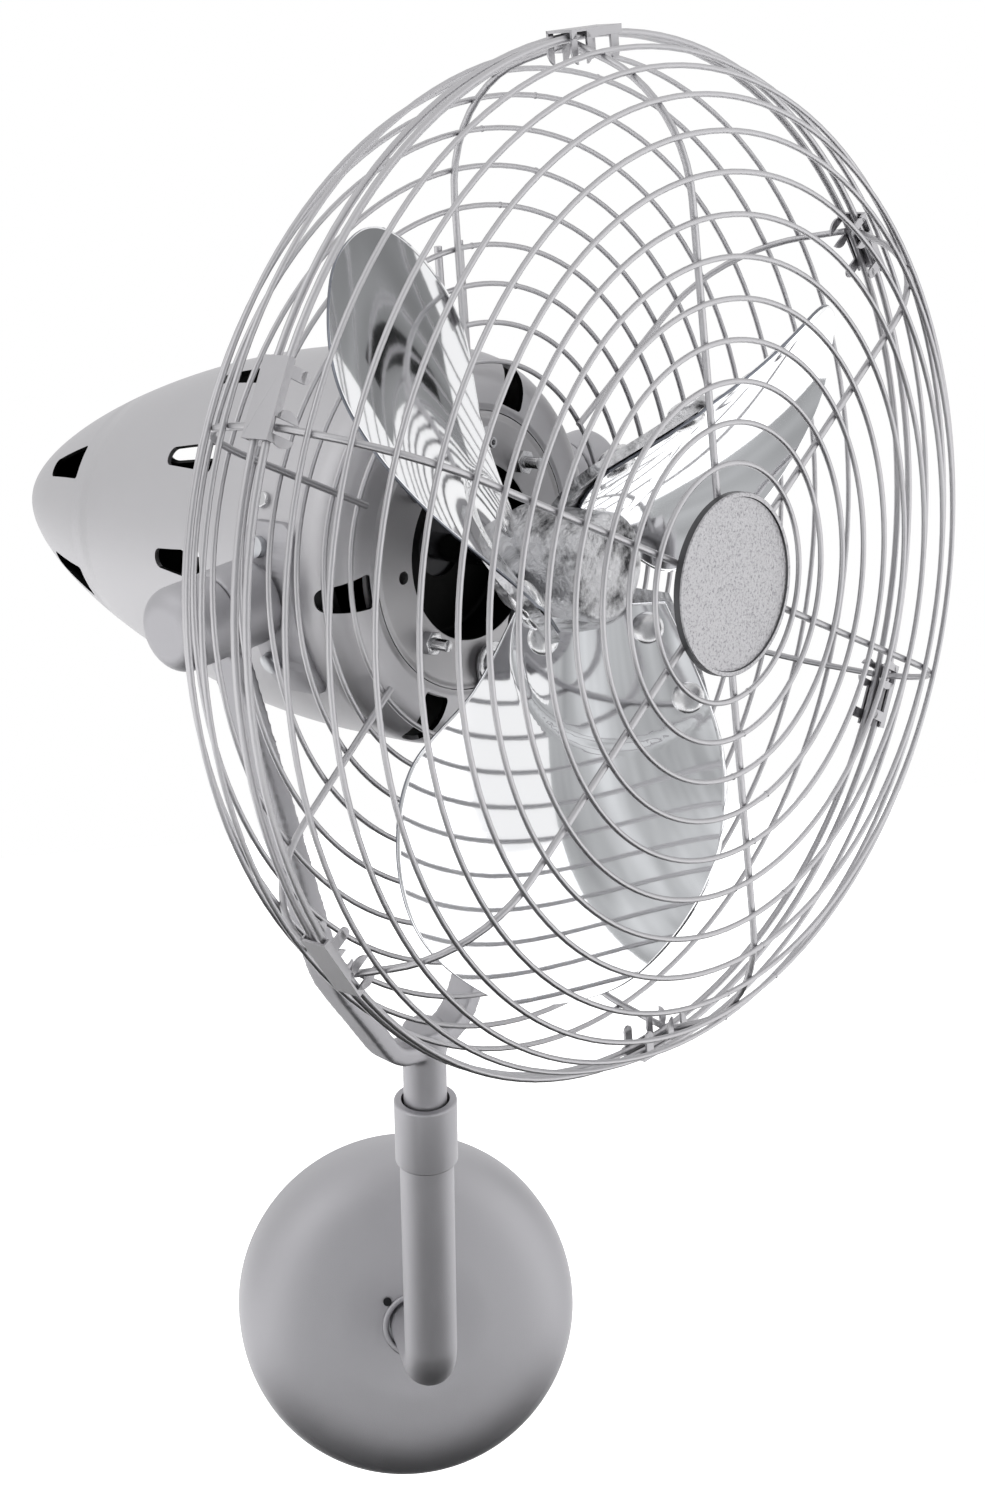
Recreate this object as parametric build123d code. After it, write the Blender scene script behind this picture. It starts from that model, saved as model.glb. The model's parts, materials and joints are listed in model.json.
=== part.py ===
from build123d import *
import os
from math import acos, atan, atan2, cos, degrees, hypot, pi, radians, sin, tan

# Wall mounted fan with a tube arm, a swivelling and tilting fork, and a round wire cage.
# Millimetres. The origin is the centre of the canopy's seat on the wall; +Z is up, the wall is the
# plane y = 0 and the room lies on the -Y side.

# ---- Fits shared by all pieces
TURNING_GAP = 0.3        # between faces of two bodies that move past each other
RUNNING_FIT = 0.03       # radial play of a shaft or pin in its bore
CLEARANCE = 0.25         # radial play of a screw in its hole

# ---- Wall side: bracket, canopy, arm tube, collar
BRACKET_SHEET = 3.0
BRACKET_WIDTH = 44.0
BRACKET_PLATFORM = 64.0
BRACKET_DEPTH = 50.0     # front of the platform, measured from the wall
BRACKET_FOOT = 34.0      # length of one foot along the wall
WALL_SLOT_SPACING = 89.0
WALL_SLOT_LENGTH = 12.0
WALL_SLOT_WIDTH = 5.5
CANOPY_RADIUS = 93.9
CANOPY_DEPTH = 59.7
CANOPY_SHEET = 1.2
CANOPY_FLAT = 25.0       # radius of the dome's flat middle
CANOPY_SQUARENESS = 3.79  # exponent of the dome's rounded-square section
CANOPY_LIP_WIDTH = 3.4
CANOPY_LIP_HEIGHT = 2.0
CANOPY_LIP_GAP = 1.25
CANOPY_SCREW_PLACE = 20.3
CANOPY_SCREW_RADIUS = 1.5
CANOPY_SCREW_HEAD = 2.3
CANOPY_SCREW_HEAD_HEIGHT = 1.3
TUBE_RADIUS = 13.35      # 3/4-inch pipe
TUBE_BORE = 10.45
TUBE_REACH = 140.0       # from the wall to the corner of the bend
TUBE_BEND = 25.0
TUBE_INSIDE = 16.0       # how far the tube's end stands behind the bracket's platform
LOCK_NUT_FLATS = 34.0
LOCK_NUT_HEIGHT = 4.0
ARM_LEAN = 22.9          # degrees between the swivel axis and the vertical
YOKE_HEIGHT = 448.9      # from the bend's corner to the tilt pivots, along the swivel axis
COLLAR_RADIUS = 15.4
COLLAR_BORE = 11.9
COLLAR_TOP = 285.7       # below the tilt pivots
COLLAR_LENGTH = 35.3
COLLAR_NECK = 8.0
COLLAR_ROUNDING = 1.2
BUSHING_LENGTH = 40.0
BUSHING_FLANGE = 1.5
THRUST_WASHER = 1.0

# ---- Fork
REST_YAW = 40.6          # degrees that the head is turned from the wall's normal
PIVOT_SETBACK = 8.1      # the tilt axis stands this far behind the swivel axis
STEM_RADIUS = 10.7
STEM_JOURNAL = 8.5
STEM_TOP = 262.0
JOURNAL_BELOW_BUSHING = 4.0
SNAP_RING = 1.0
SNAP_RING_RADIUS = 10.0
SNAP_RING_SEAT = 7.8
CROTCH_TOP = 255.5
CROTCH_HALF_WIDTH = 16.0
CROTCH_ROUNDING = 9.0
KNEE_HALF_WIDTH = 55.3
KNEE_DROP = 187.0
KNEE_ROUNDING = 60.0
FORK_BAR = 7.4           # thickness of the fork's bar seen from the front
FORK_FOOT_DEPTH = 15.0   # its depth front to back at the crotch
FORK_EAR_DEPTH = 24.0    # and below the ears
FORK_EDGE = 2.2
EAR_RADIUS = 18.5
EAR_LENGTH = 24.0
EAR_ROUNDING = 2.5
TILT_STUD_RADIUS = 5.0

# ---- Tilt knobs
KNOB_RADIUS = 17.9
KNOB_LENGTH = 24.8
KNOB_DOME = 13.5
KNOB_HEEL = 1.2
KNOB_BORE_DEPTH = 17.0

# ---- Head
REST_TILT = 7.9          # degrees nose-up from square to the swivel axis
HOUSING_RADIUS = 85.3
HOUSING_SHEET = 2.2
HOUSING_FRONT = 44.0     # front face, ahead of the tilt axis
HOUSING_TAIL = 245.3     # tip of the tail, behind the tilt axis
HOUSING_SHOULDER = 16.4
TAIL_NOSE = 29.0         # how far the tail's curve heads square to the shaft at its tip
TAIL_FLANK = 110.0       # and along the shaft where it meets the drum
SEAM_RADIUS = 60.0
SEAM_GAP = 0.5
PLATE_SHEET = 2.0
PLATE_FLANGE = 4.0
OPENING_RADIUS = 38.0
CUP_DEPTH = 20.0
SHOULDER_VENTS = 6
SHOULDER_VENT_ANGLE = 31.0   # of the first one, clockwise from the top, seen from the front
SHOULDER_VENT_LENGTH = 23.5
SHOULDER_VENT_SHIFT = 3.6    # its middle stands this far inward of the shoulder's own middle
SHOULDER_VENT_WIDE = 15.0
SHOULDER_VENT_NARROW = 9.0
SIDE_VENTS = 11
SIDE_VENT_ANGLE = -51.5
SIDE_VENT_BACK = 72.0        # rear end, behind the tilt axis
SIDE_VENT_LENGTH = 34.0
SIDE_VENT_WIDE = 14.0
SIDE_VENT_NARROW = 8.0
TAIL_VENTS = 6
TAIL_VENT_ANGLE = -51.0
TAIL_VENT_BACK = 191.0
TAIL_VENT_LENGTH = 36.0
TAIL_VENT_WIDE = 17.0
TAIL_VENT_NARROW = 8.0
VENT_CORNER = 1.5
PLATE_HOLE_RADIUS = 2.8
PLATE_HOLE_CIRCLE = 44.0
PLATE_HOLE_ANGLE = -89.0
EARTH_STUD_ANGLE = 17.0
EARTH_STUD_CIRCLE = 46.5
EARTH_STUD_RADIUS = 2.2
EARTH_STUD_BORE = 1.2
EARTH_STUD_TIP = 50.0        # ahead of the tilt axis
EARTH_TAG_LENGTH = 13.0
EARTH_TAG_WIDTH = 8.0
EARTH_TAG_SHEET = 1.2
HOUSING_SCREW_ANGLE = 62.7   # to both sides of the top
HOUSING_SCREW_AHEAD = 1.0
HOUSING_SCREW_RADIUS = 1.5
HOUSING_SCREW_HEAD = 3.5
HOUSING_SCREW_HEAD_HEIGHT = 2.2
HOUSING_SCREW_LENGTH = 7.0
BRACKET_PAD_SHEET = 2.7
BRACKET_PAD_FRONT = 22.0
BRACKET_PAD_BACK = 6.0
BRACKET_PAD_TOP = 32.0
BRACKET_PAD_FOOT = 44.0
BRACKET_PAD_ROUNDING = 7.0
BRACKET_BOSS_RADIUS = 15.0
BRACKET_BOSS_PROUD = 3.3  # the boss's flat face stands out of the housing's drum
FRICTION_WASHER = 0.8
FRICTION_WASHER_RADIUS = 14.0
PAD_SCREW_PLACES = ((4.0, 22.0), (0.0, -29.5))   # ahead of and above the tilt axis
PAD_SCREW_RADIUS = 2.0
PAD_SCREW_HEAD = 4.6
PAD_SCREW_HEAD_HEIGHT = 3.0
PAD_SCREW_LENGTH = 9.0

# ---- Motor
MOTOR_STUDS = 4
MOTOR_STUD_ANGLE = 49.0     # of the first one, clockwise from the top, seen from the front
MOTOR_STUD_CIRCLE = 46.2
MOTOR_STUD_RADIUS = 2.5
MOTOR_STUD_TIP = 56.0
MOTOR_SPACER_RADIUS = 4.0
MOTOR_NUT_FLATS = 9.5
MOTOR_NUT_HEIGHT = 4.5
STATOR_FRONT = 10.0
STATOR_LENGTH = 50.0
STATOR_RADIUS = 52.0
STATOR_BORE = 30.0
WINDING_LENGTH = 11.0
WINDING_RADIUS = 39.0
AIR_GAP = 0.4
REAR_PLATE_GAP = 16.0
BEARING_RADIUS = 16.0
BEARING_WIDTH = 8.0
BEARING_LIP = 13.0
BOSS_WALL = 2.0
SHAFT_RADIUS = 6.0

# ---- Rotor
HUB_RADIUS = 23.0
HUB_BACK = 72.0
HUB_FRONT = 118.0
HUB_ROUNDING = 3.0
SET_SCREW_RADIUS = 3.5
SET_SCREW_AHEAD = 8.0
SET_SCREW_LENGTH = 13.0
SET_SCREW_ANGLE = -89.0
BLADE_COUNT = 3
FIRST_BLADE_ANGLE = -30.5   # clockwise from the top, seen from the front, at rest
BLADE_ROOT_AHEAD = 74.7     # where the blade's own radial line meets the shaft axis
BLADE_RAKE = 4.15
BLADE_PITCH = 30.5
BLADE_TWIST = 0.00155       # slope across the blade lost per mm outward
BLADE_MIDDLE = 118.0        # the reach at which pitch and camber are given
BLADE_CAMBER = 0.0044       # curvature across the blade there, per mm
BLADE_CAMBER_FADE = 0.000057   # curvature lost per mm outward
BLADE_CREST = 19.0          # the line across which the camber is symmetrical
BLADE_SHEET = 1.2
BLADE_ROOT = ((8.0, 57.0), (22.0, -2.0))
BLADE_TIP_GAP = 26.0        # between the tip's reach and the cage's rim
# Paddle outline from the root round the tip: reach short of the tip's, distance across the blade.
BLADE_OUTLINE = ((124, -15), (88, -37), (54, -37), (24, -23), (6, 2), (0, 36), (18, 79), (64, 100),
                 (118, 91))
BLADE_BLANK_MARGIN = 11.0   # of the sheet past the tip, before it is trimmed
BLADE_BLANK_EDGES = (-50.0, 115.0)
HUB_ARM_SHEET = 5.0
# Arm behind the root: reach, distance across, rounding of the corner.
HUB_ARM_OUTLINE = ((4, 0, 0), (28, -3, 6), (66, 16, 12), (74, 40, 12), (56, 86, 12), (34, 76, 8),
                   (4, 58, 0))
RIVET_PLACES = ((32.5, 11.5), (20.0, 53.0), (46.0, 73.5))
RIVET_HEAD = 7.0
RIVET_HEAD_HEIGHT = 2.6
RIVET_SHANK = 3.0

# ---- Cage: one guard's profile starts at its first ring, runs straight, then turns to the rim
RING_WIRE = 2.3          # across the wire
RIM_WIRE = 3.0
RADIAL_WIRE = 2.9
WELD_SINK = 0.2
RADIAL_COUNT = 6
RIM_RADIUS = 210.0
FRONT_RIM = 127.7        # ahead of the tilt axis
FRONT_FIRST_RING = 47.3
FRONT_CROWN = 178.8
FRONT_SHOULDER_INSET = 2.2   # the widest ring of the turn could stand this far inside the rim
FRONT_TURN_RADIUS = 58.0
FRONT_LAST_TURN = 69.9   # degrees round the turn to the last ring
FRONT_RINGS = 12
FRONT_RADIAL_START = 27.0
REAR_RIM = 121.7
REAR_FIRST_RING = 80.6
REAR_CROWN = 49.7
REAR_SHOULDER_INSET = 3.57
REAR_SLOPE = 3.6         # degrees that the straight part leans back
REAR_TURN_RADIUS = 61.0
REAR_LAST_TURN = 70.6
REAR_RINGS = 10
REAR_RADIAL_OVERHANG = 2.5
HAIRPIN_WIRE = 3.3
HAIRPIN_HALF_WIDTH = 6.5
HAIRPIN_SCREW_CIRCLE = 50.0
HAIRPIN_RINGS = 4        # rings that the loop's legs are welded to
HAIRPIN_OVERHANG = 2.4
GUARD_SCREW_RADIUS = 3.0
GUARD_SCREW_HEAD = 5.0
GUARD_SCREW_HEAD_HEIGHT = 3.6
GUARD_WASHER_RADIUS = 9.5
GUARD_WASHER = 1.2
BACKING_RADIUS = 33.0
BACKING_SHEET = 1.5
BADGE_RADIUS = 36.4
BADGE_THICKNESS = 3.4
BADGE_RIM_WIDTH = 2.2
BADGE_RECESS = 0.8
BADGE_RIVET_RADIUS = 2.5
BADGE_RIVET_HEAD = 4.5
BADGE_RIVET_HEAD_HEIGHT = 1.6

# ---- Cage clips
CLIP_SHEET = 1.0
CLIP_LENGTH = 30.0
CLIP_PAST_RADIAL = 9.0   # the clip's middle stands this far clockwise of its radial wire
CLIP_GAP = 0.8           # around the two rim wires
CLIP_FACE_GAP = 0.35
CLIP_DEPTH = 7.0
CLIP_SLOT = 5.0

# ---- Frames of the fan's own parts
WALL = Plane(origin=(0, 0, 0), x_dir=(1, 0, 0), z_dir=(0, -1, 0)).location   # +z into the room
SWIVEL = Pos(0, -TUBE_REACH, 0) * Rot(ARM_LEAN, 0, 0) * Pos(0, 0, YOKE_HEIGHT)
FORK = SWIVEL * Rot(0, 0, REST_YAW)
HEAD = FORK * Pos(0, PIVOT_SETBACK, 0) * Rot(-REST_TILT, 0, 0)
SPIN = HEAD * Rot(90, 0, 0)                      # +z runs forward along the shaft, +y up
SIDES = (("left", -1), ("right", 1))

# ---- Sizes that follow from others
PLATFORM_BACK = BRACKET_DEPTH - BRACKET_SHEET
TUBE_START = PLATFORM_BACK - TUBE_INSIDE
TUBE_TOP = COLLAR_TOP + COLLAR_NECK
BUSHING_TOP = TUBE_TOP - BUSHING_FLANGE
WASHER_SEAT = BUSHING_TOP - TURNING_GAP
SHOULDER = WASHER_SEAT - THRUST_WASHER
SNAP_RING_TOP = TUBE_TOP + BUSHING_LENGTH + TURNING_GAP
JOURNAL_END = SNAP_RING_TOP + JOURNAL_BELOW_BUSHING
BRACKET_BOSS_FACE = HOUSING_RADIUS + BRACKET_BOSS_PROUD
EAR_INNER = BRACKET_BOSS_FACE + FRICTION_WASHER
EAR_OUTER = EAR_INNER + EAR_LENGTH
KNOB_BASE = EAR_OUTER + TURNING_GAP
PAD_OUTER = HOUSING_RADIUS + BRACKET_PAD_SHEET
CUP_FLOOR = HOUSING_FRONT - CUP_DEPTH
FRONT_BEARING = CUP_FLOOR - PLATE_SHEET
STATOR_BACK = STATOR_FRONT - STATOR_LENGTH
REAR_PLATE = STATOR_BACK - REAR_PLATE_GAP
BLADE_TIP = RIM_RADIUS - BLADE_TIP_GAP
RADIAL_INSET = (RING_WIRE + RADIAL_WIRE) / 2 - WELD_SINK
HAIRPIN_INSET = (RING_WIRE + HAIRPIN_WIRE) / 2 - WELD_SINK
FRONT_TURN_CENTRE = RIM_RADIUS - FRONT_SHOULDER_INSET - FRONT_TURN_RADIUS
FRONT_STRAIGHT = FRONT_TURN_CENTRE - FRONT_FIRST_RING
FRONT_PITCH = (FRONT_STRAIGHT + FRONT_TURN_RADIUS * radians(FRONT_LAST_TURN)) / (FRONT_RINGS - 1)
REAR_TURN_CENTRE = RIM_RADIUS - REAR_SHOULDER_INSET - REAR_TURN_RADIUS
REAR_SLOPE_FOOT = REAR_TURN_CENTRE + REAR_TURN_RADIUS * sin(radians(REAR_SLOPE))
REAR_STRAIGHT = (REAR_SLOPE_FOOT - REAR_FIRST_RING) / cos(radians(REAR_SLOPE))
REAR_PITCH = (REAR_STRAIGHT + REAR_TURN_RADIUS * radians(REAR_LAST_TURN)) / (REAR_RINGS - 1)
FRONT_SIDE = (FRONT_FIRST_RING, FRONT_CROWN, FRONT_STRAIGHT, 0.0, FRONT_TURN_RADIUS, 1)
REAR_SIDE = (REAR_FIRST_RING, REAR_CROWN, REAR_STRAIGHT, radians(REAR_SLOPE), REAR_TURN_RADIUS, -1)
BACKING_BACK = FRONT_CROWN - RADIAL_INSET + RADIAL_WIRE / 2 - WELD_SINK
BADGE_BACK = BACKING_BACK + BACKING_SHEET


def outline(*corners):
    """Face inside straight runs between (x, y, rounding) corners."""
    arrivals = []
    departures = []
    edges = []
    for index, (x, y, rounding) in enumerate(corners):
        corner = Vector(x, y)
        back = Vector(*corners[index - 1][:2]) - corner
        ahead = Vector(*corners[(index + 1) % len(corners)][:2]) - corner
        half = radians(back.get_angle(ahead)) / 2
        setback = min(rounding / tan(half), 0.49 * min(back.length, ahead.length))
        radius = setback * tan(half)
        arrive = corner + back.normalized() * setback
        depart = corner + ahead.normalized() * setback
        if rounding:
            inward = (back.normalized() + ahead.normalized()).normalized()
            middle = corner + inward * (radius / sin(half) - radius)
            edges.append(ThreePointArc(arrive, middle, depart))
        arrivals.append(arrive)
        departures.append(depart)
    for index, depart in enumerate(departures):
        edges.append(Line(depart, arrivals[(index + 1) % len(corners)]))
    return make_face(edges)


def turned(*corners):
    """Solid of revolution about Z, from (radius, height, rounding) corners."""
    return revolve(Plane.XZ * outline(*corners), Axis.Z)


def disc(radius, low, high):
    """Round bar about Z between two heights."""
    return Pos(0, 0, low) * extrude(Circle(radius), high - low)


def washer(outer, inner, low, high):
    return disc(outer, low, high) - disc(inner, low, high)


def hexagon(flats, low, high):
    """Hexagonal bar about Z between two heights."""
    return Pos(0, 0, low) * extrude(RegularPolygon(flats / 2, 6, major_radius=False), high - low)


def clock(angle):
    """Turn from local +X to the direction at an angle clockwise from +Y."""
    return Rot(0, 0, 90 - angle)


# ---- Wall side

def wall_bracket():
    """Hat-shaped strip: two slotted feet on the wall and a raised platform."""
    half = BRACKET_PLATFORM / 2
    foot = half + BRACKET_FOOT
    sheet = BRACKET_SHEET
    depth = BRACKET_DEPTH
    section = outline(
        (-half, depth, sheet), (half, depth, sheet), (half, sheet, 0), (foot, sheet, 0),
        (foot, 0, 0), (half - sheet, 0, 0), (half - sheet, depth - sheet, 0),
        (sheet - half, depth - sheet, 0), (sheet - half, 0, 0), (-foot, 0, 0), (-foot, sheet, 0),
        (-half, sheet, 0))
    strip = Plane.XZ * extrude(section, BRACKET_WIDTH / 2, both=True)
    body = strip - disc(TUBE_RADIUS + CLEARANCE, PLATFORM_BACK, BRACKET_DEPTH)
    slot = extrude(SlotOverall(WALL_SLOT_LENGTH, WALL_SLOT_WIDTH), BRACKET_SHEET)
    body -= [Pos(side * WALL_SLOT_SPACING / 2, 0, 0) * slot for side in (-1, 1)]
    body -= [place * disc(CANOPY_SCREW_RADIUS, PLATFORM_BACK, BRACKET_DEPTH)
             for place in canopy_screw_places()]
    return WALL * body


def canopy_screw_places():
    return [clock(angle) * Pos(CANOPY_SCREW_PLACE, 0, 0) for angle in (-45, 135)]


def canopy_dome(inset):
    """Solid dome, flat in the middle, whose section is a superellipse."""
    rim = CANOPY_RADIUS - inset
    depth = CANOPY_DEPTH - inset
    power = 2 / CANOPY_SQUARENESS
    turns = [radians(angle) for angle in (0, 10, 25, 45, 60, 75)]
    curve = [(rim * cos(turn) ** power, depth * sin(turn) ** power) for turn in turns]
    edge = Spline(*curve, (CANOPY_FLAT, depth), tangents=((0, 1), (-1, 0)))
    section = make_face([edge, Polyline((CANOPY_FLAT, depth), (0, depth), (0, 0), (rim, 0))])
    return revolve(Plane.XZ * section, Axis.Z)


def canopy():
    """Domed cover with a rolled lip round the arm's hole."""
    hole = TUBE_RADIUS + CANOPY_LIP_GAP
    lip = hole + CANOPY_LIP_WIDTH
    low = CANOPY_DEPTH - CANOPY_SHEET
    body = canopy_dome(0) - canopy_dome(CANOPY_SHEET)
    body += turned((hole, low, 0.5), (lip, low, 0), (lip, CANOPY_DEPTH + CANOPY_LIP_HEIGHT, 1.4),
                   (hole, CANOPY_DEPTH + CANOPY_LIP_HEIGHT, 1.4))
    body -= disc(hole, 0, CANOPY_DEPTH)
    body -= [place * disc(CANOPY_SCREW_RADIUS + CLEARANCE, low - CANOPY_SHEET, CANOPY_DEPTH + 1)
             for place in canopy_screw_places()]
    return WALL * body


def canopy_screws():
    """Two small button screws from the canopy into the bracket."""
    top = CANOPY_DEPTH
    screw = disc(CANOPY_SCREW_RADIUS, PLATFORM_BACK, top)
    screw += disc(CANOPY_SCREW_HEAD, top, top + CANOPY_SCREW_HEAD_HEIGHT)
    return WALL * Compound([place * screw for place in canopy_screw_places()])


def arm_lock_nuts():
    """Pipe nuts that clamp the tube to the platform, front and back."""
    lows = (PLATFORM_BACK - LOCK_NUT_HEIGHT, BRACKET_DEPTH)
    nut = hexagon(LOCK_NUT_FLATS, 0, LOCK_NUT_HEIGHT) - disc(TUBE_RADIUS, 0, LOCK_NUT_HEIGHT)
    return WALL * Compound([Pos(0, 0, low) * nut for low in lows])


def arm_tube():
    """Pipe out of the wall, bent up onto the swivel axis."""
    corner = Vector(0, -TUBE_REACH, 0)
    top = SWIVEL * Pos(0, 0, -TUBE_TOP)
    path = FilletPolyline((0, -TUBE_START, 0), corner, top.position, radius=TUBE_BEND)
    start = Plane(origin=(0, -TUBE_START, 0), z_dir=(0, -1, 0))
    return sweep(start * (Circle(TUBE_RADIUS) - Circle(TUBE_BORE)), path)


def swivel_collar():
    """Sleeve over the tube's end, necked in above it."""
    foot = -COLLAR_TOP - COLLAR_LENGTH
    return SWIVEL * turned(
        (TUBE_RADIUS, foot, 0), (COLLAR_RADIUS, foot, COLLAR_ROUNDING),
        (COLLAR_RADIUS, -COLLAR_TOP, COLLAR_ROUNDING), (COLLAR_BORE, -COLLAR_TOP, 0),
        (COLLAR_BORE, -TUBE_TOP, 0), (TUBE_RADIUS, -TUBE_TOP, 0))


def swivel_bushing():
    """Flanged liner in the tube's end that the fork's stem turns in."""
    bore = STEM_JOURNAL + RUNNING_FIT
    flange = COLLAR_BORE - CLEARANCE
    return SWIVEL * turned(
        (bore, -TUBE_TOP - BUSHING_LENGTH, 0), (TUBE_BORE, -TUBE_TOP - BUSHING_LENGTH, 0),
        (TUBE_BORE, -TUBE_TOP, 0), (flange, -TUBE_TOP, 0), (flange, -BUSHING_TOP, 0),
        (bore, -BUSHING_TOP, 0))


# ---- Fork

def thrust_washer():
    return FORK * washer(STEM_RADIUS, STEM_JOURNAL + CLEARANCE, -WASHER_SEAT, -SHOULDER)


def swivel_ring():
    """Snap ring that keeps the stem in the bushing."""
    return FORK * washer(SNAP_RING_RADIUS, SNAP_RING_SEAT, -SNAP_RING_TOP - SNAP_RING, -SNAP_RING_TOP)


def fork_front():
    """The fork seen from the front: one bar bent at the crotch and at both knees."""
    ear_middle = EAR_INNER + EAR_LENGTH / 2
    inner_ear = ear_middle - FORK_BAR / 2
    lean = atan2(inner_ear - KNEE_HALF_WIDTH, KNEE_DROP)
    spread = atan2(KNEE_HALF_WIDTH - CROTCH_HALF_WIDTH, CROTCH_TOP - KNEE_DROP)
    knee_step = FORK_BAR / cos((spread - lean) / 2)
    knee_turn = (lean + spread) / 2
    outer_knee = (KNEE_HALF_WIDTH + knee_step * cos(knee_turn), knee_step * sin(knee_turn) + KNEE_DROP)
    outer_ear = inner_ear + FORK_BAR / cos(lean)
    foot_run = (STEM_TOP - outer_knee[1]) * tan(spread)
    foot = (outer_knee[0] - foot_run, STEM_TOP)
    half = outline(
        (0, -CROTCH_TOP, 0), (CROTCH_HALF_WIDTH, -CROTCH_TOP, CROTCH_ROUNDING),
        (KNEE_HALF_WIDTH, -KNEE_DROP, KNEE_ROUNDING), (inner_ear, 0, 0), (outer_ear, 0, 0),
        (outer_knee[0], -outer_knee[1], KNEE_ROUNDING + FORK_BAR), (foot[0], -foot[1], CROTCH_ROUNDING),
        (STEM_RADIUS, -foot[1] - FORK_BAR, CROTCH_ROUNDING / 2), (0, -foot[1] - FORK_BAR, 0))
    return half + mirror(half, Plane.YZ)


def fork_side():
    """The fork seen from the side: it leans back to the ears and grows deeper."""
    foot = FORK_FOOT_DEPTH / 2
    ear = FORK_EAR_DEPTH / 2
    low = -SHOULDER
    return outline(
        (-foot, low, 0), (foot, low, 0), (foot, -CROTCH_TOP + FORK_BAR, 30),
        (PIVOT_SETBACK + ear, -EAR_RADIUS, 0), (PIVOT_SETBACK + ear, EAR_RADIUS, 0),
        (PIVOT_SETBACK - ear, EAR_RADIUS, 0), (PIVOT_SETBACK - ear, -EAR_RADIUS, 0),
        (-foot, -CROTCH_TOP + FORK_BAR, 30))


def fork_ear(side):
    """Round boss about the tilt axis."""
    place = Pos(0, PIVOT_SETBACK, 0) * Rot(0, 90, 0)
    low, high = sorted((side * EAR_INNER, side * EAR_OUTER))
    return place * turned(
        (0, low, 0), (EAR_RADIUS, low, EAR_ROUNDING), (EAR_RADIUS, high, EAR_ROUNDING), (0, high, 0))


def yoke():
    """Cast fork: stem, crotch, two arms and two bored ears."""
    bars = extrude(Plane.XZ * fork_front(), HOUSING_RADIUS, both=True)
    depth = extrude(Plane.YZ * fork_side(), EAR_OUTER, both=True)
    body = bars & depth
    body += [fork_ear(side) for _, side in SIDES]
    body += disc(STEM_RADIUS, -SHOULDER, -STEM_TOP)
    body += disc(STEM_JOURNAL, -JOURNAL_END, -SHOULDER)
    body -= washer(STEM_JOURNAL, SNAP_RING_SEAT, -SNAP_RING_TOP - SNAP_RING, -SNAP_RING_TOP)
    bore = Rot(0, 90, 0) * disc(TILT_STUD_RADIUS + RUNNING_FIT, -EAR_OUTER, EAR_OUTER)
    return FORK * (body - Pos(0, PIVOT_SETBACK, 0) * bore)


# ---- Tilt knobs, studs and brackets

def knob(side):
    """Domed nut that clamps the tilt."""
    tip = KNOB_BASE + KNOB_LENGTH
    body = turned(
        (0, KNOB_BASE, 0), (KNOB_RADIUS, KNOB_BASE, KNOB_HEEL), (KNOB_RADIUS, tip, KNOB_DOME), (0, tip, 0))
    body -= disc(TILT_STUD_RADIUS + RUNNING_FIT, KNOB_BASE, KNOB_BASE + KNOB_BORE_DEPTH)
    return HEAD * Rot(0, side * 90, 0) * body


def tilt_stud(side):
    """Pin from the head's bracket through the fork's ear into the knob."""
    tip = KNOB_BASE + KNOB_BORE_DEPTH - TURNING_GAP
    return HEAD * Rot(0, side * 90, 0) * disc(TILT_STUD_RADIUS, HOUSING_RADIUS + TURNING_GAP, tip)


def pad_places(side):
    """Radial directions of the pad's screws: from the shaft axis out through the pad."""
    places = []
    for ahead, up in PAD_SCREW_PLACES:
        angle = side * (90 - degrees(atan2(up, HOUSING_RADIUS)))
        places.append(Pos(0, 0, ahead) * clock(angle) * Rot(0, 90, 0))
    return places


def tilt_bracket(side):
    """Curved pad on the housing with a flat boss for the stud."""
    pad = Rot(0, 0, 90) * washer(PAD_OUTER, HOUSING_RADIUS, -HOUSING_FRONT, HOUSING_FRONT)
    window = outline(
        (-BRACKET_PAD_FOOT, BRACKET_PAD_FRONT, BRACKET_PAD_ROUNDING),
        (BRACKET_PAD_TOP, BRACKET_PAD_FRONT, BRACKET_PAD_ROUNDING),
        (BRACKET_PAD_TOP, -BRACKET_PAD_BACK, BRACKET_PAD_ROUNDING),
        (-BRACKET_PAD_FOOT, -BRACKET_PAD_BACK, BRACKET_PAD_ROUNDING))
    prism = extrude(Plane.YZ * window, side * 2 * HOUSING_RADIUS)
    body = pad & prism
    boss = Rot(0, side * 90, 0) * disc(BRACKET_BOSS_RADIUS, 0, BRACKET_BOSS_FACE)
    body += boss - disc(HOUSING_RADIUS, -HOUSING_FRONT, HOUSING_FRONT)
    body -= Rot(0, side * 90, 0) * disc(TILT_STUD_RADIUS, 0, BRACKET_BOSS_FACE)
    body -= [place * disc(PAD_SCREW_RADIUS, 0, PAD_OUTER) for place in pad_places(side)]
    return SPIN * body


def bracket_screws():
    """Pan head screws through both pads into the housing."""
    screws = []
    for _, side in SIDES:
        for place in pad_places(side):
            screw = disc(PAD_SCREW_RADIUS, PAD_OUTER - PAD_SCREW_LENGTH, PAD_OUTER)
            screw += disc(PAD_SCREW_HEAD, PAD_OUTER, PAD_OUTER + PAD_SCREW_HEAD_HEIGHT)
            screws.append(place * screw)
    return SPIN * Compound(screws)


def friction_washers():
    rings = []
    for _, side in SIDES:
        ring = washer(FRICTION_WASHER_RADIUS, TILT_STUD_RADIUS + RUNNING_FIT, BRACKET_BOSS_FACE, EAR_INNER)
        rings.append(Rot(0, side * 90, 0) * ring)
    return HEAD * Compound(rings)


# ---- Motor housing and motor

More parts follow.
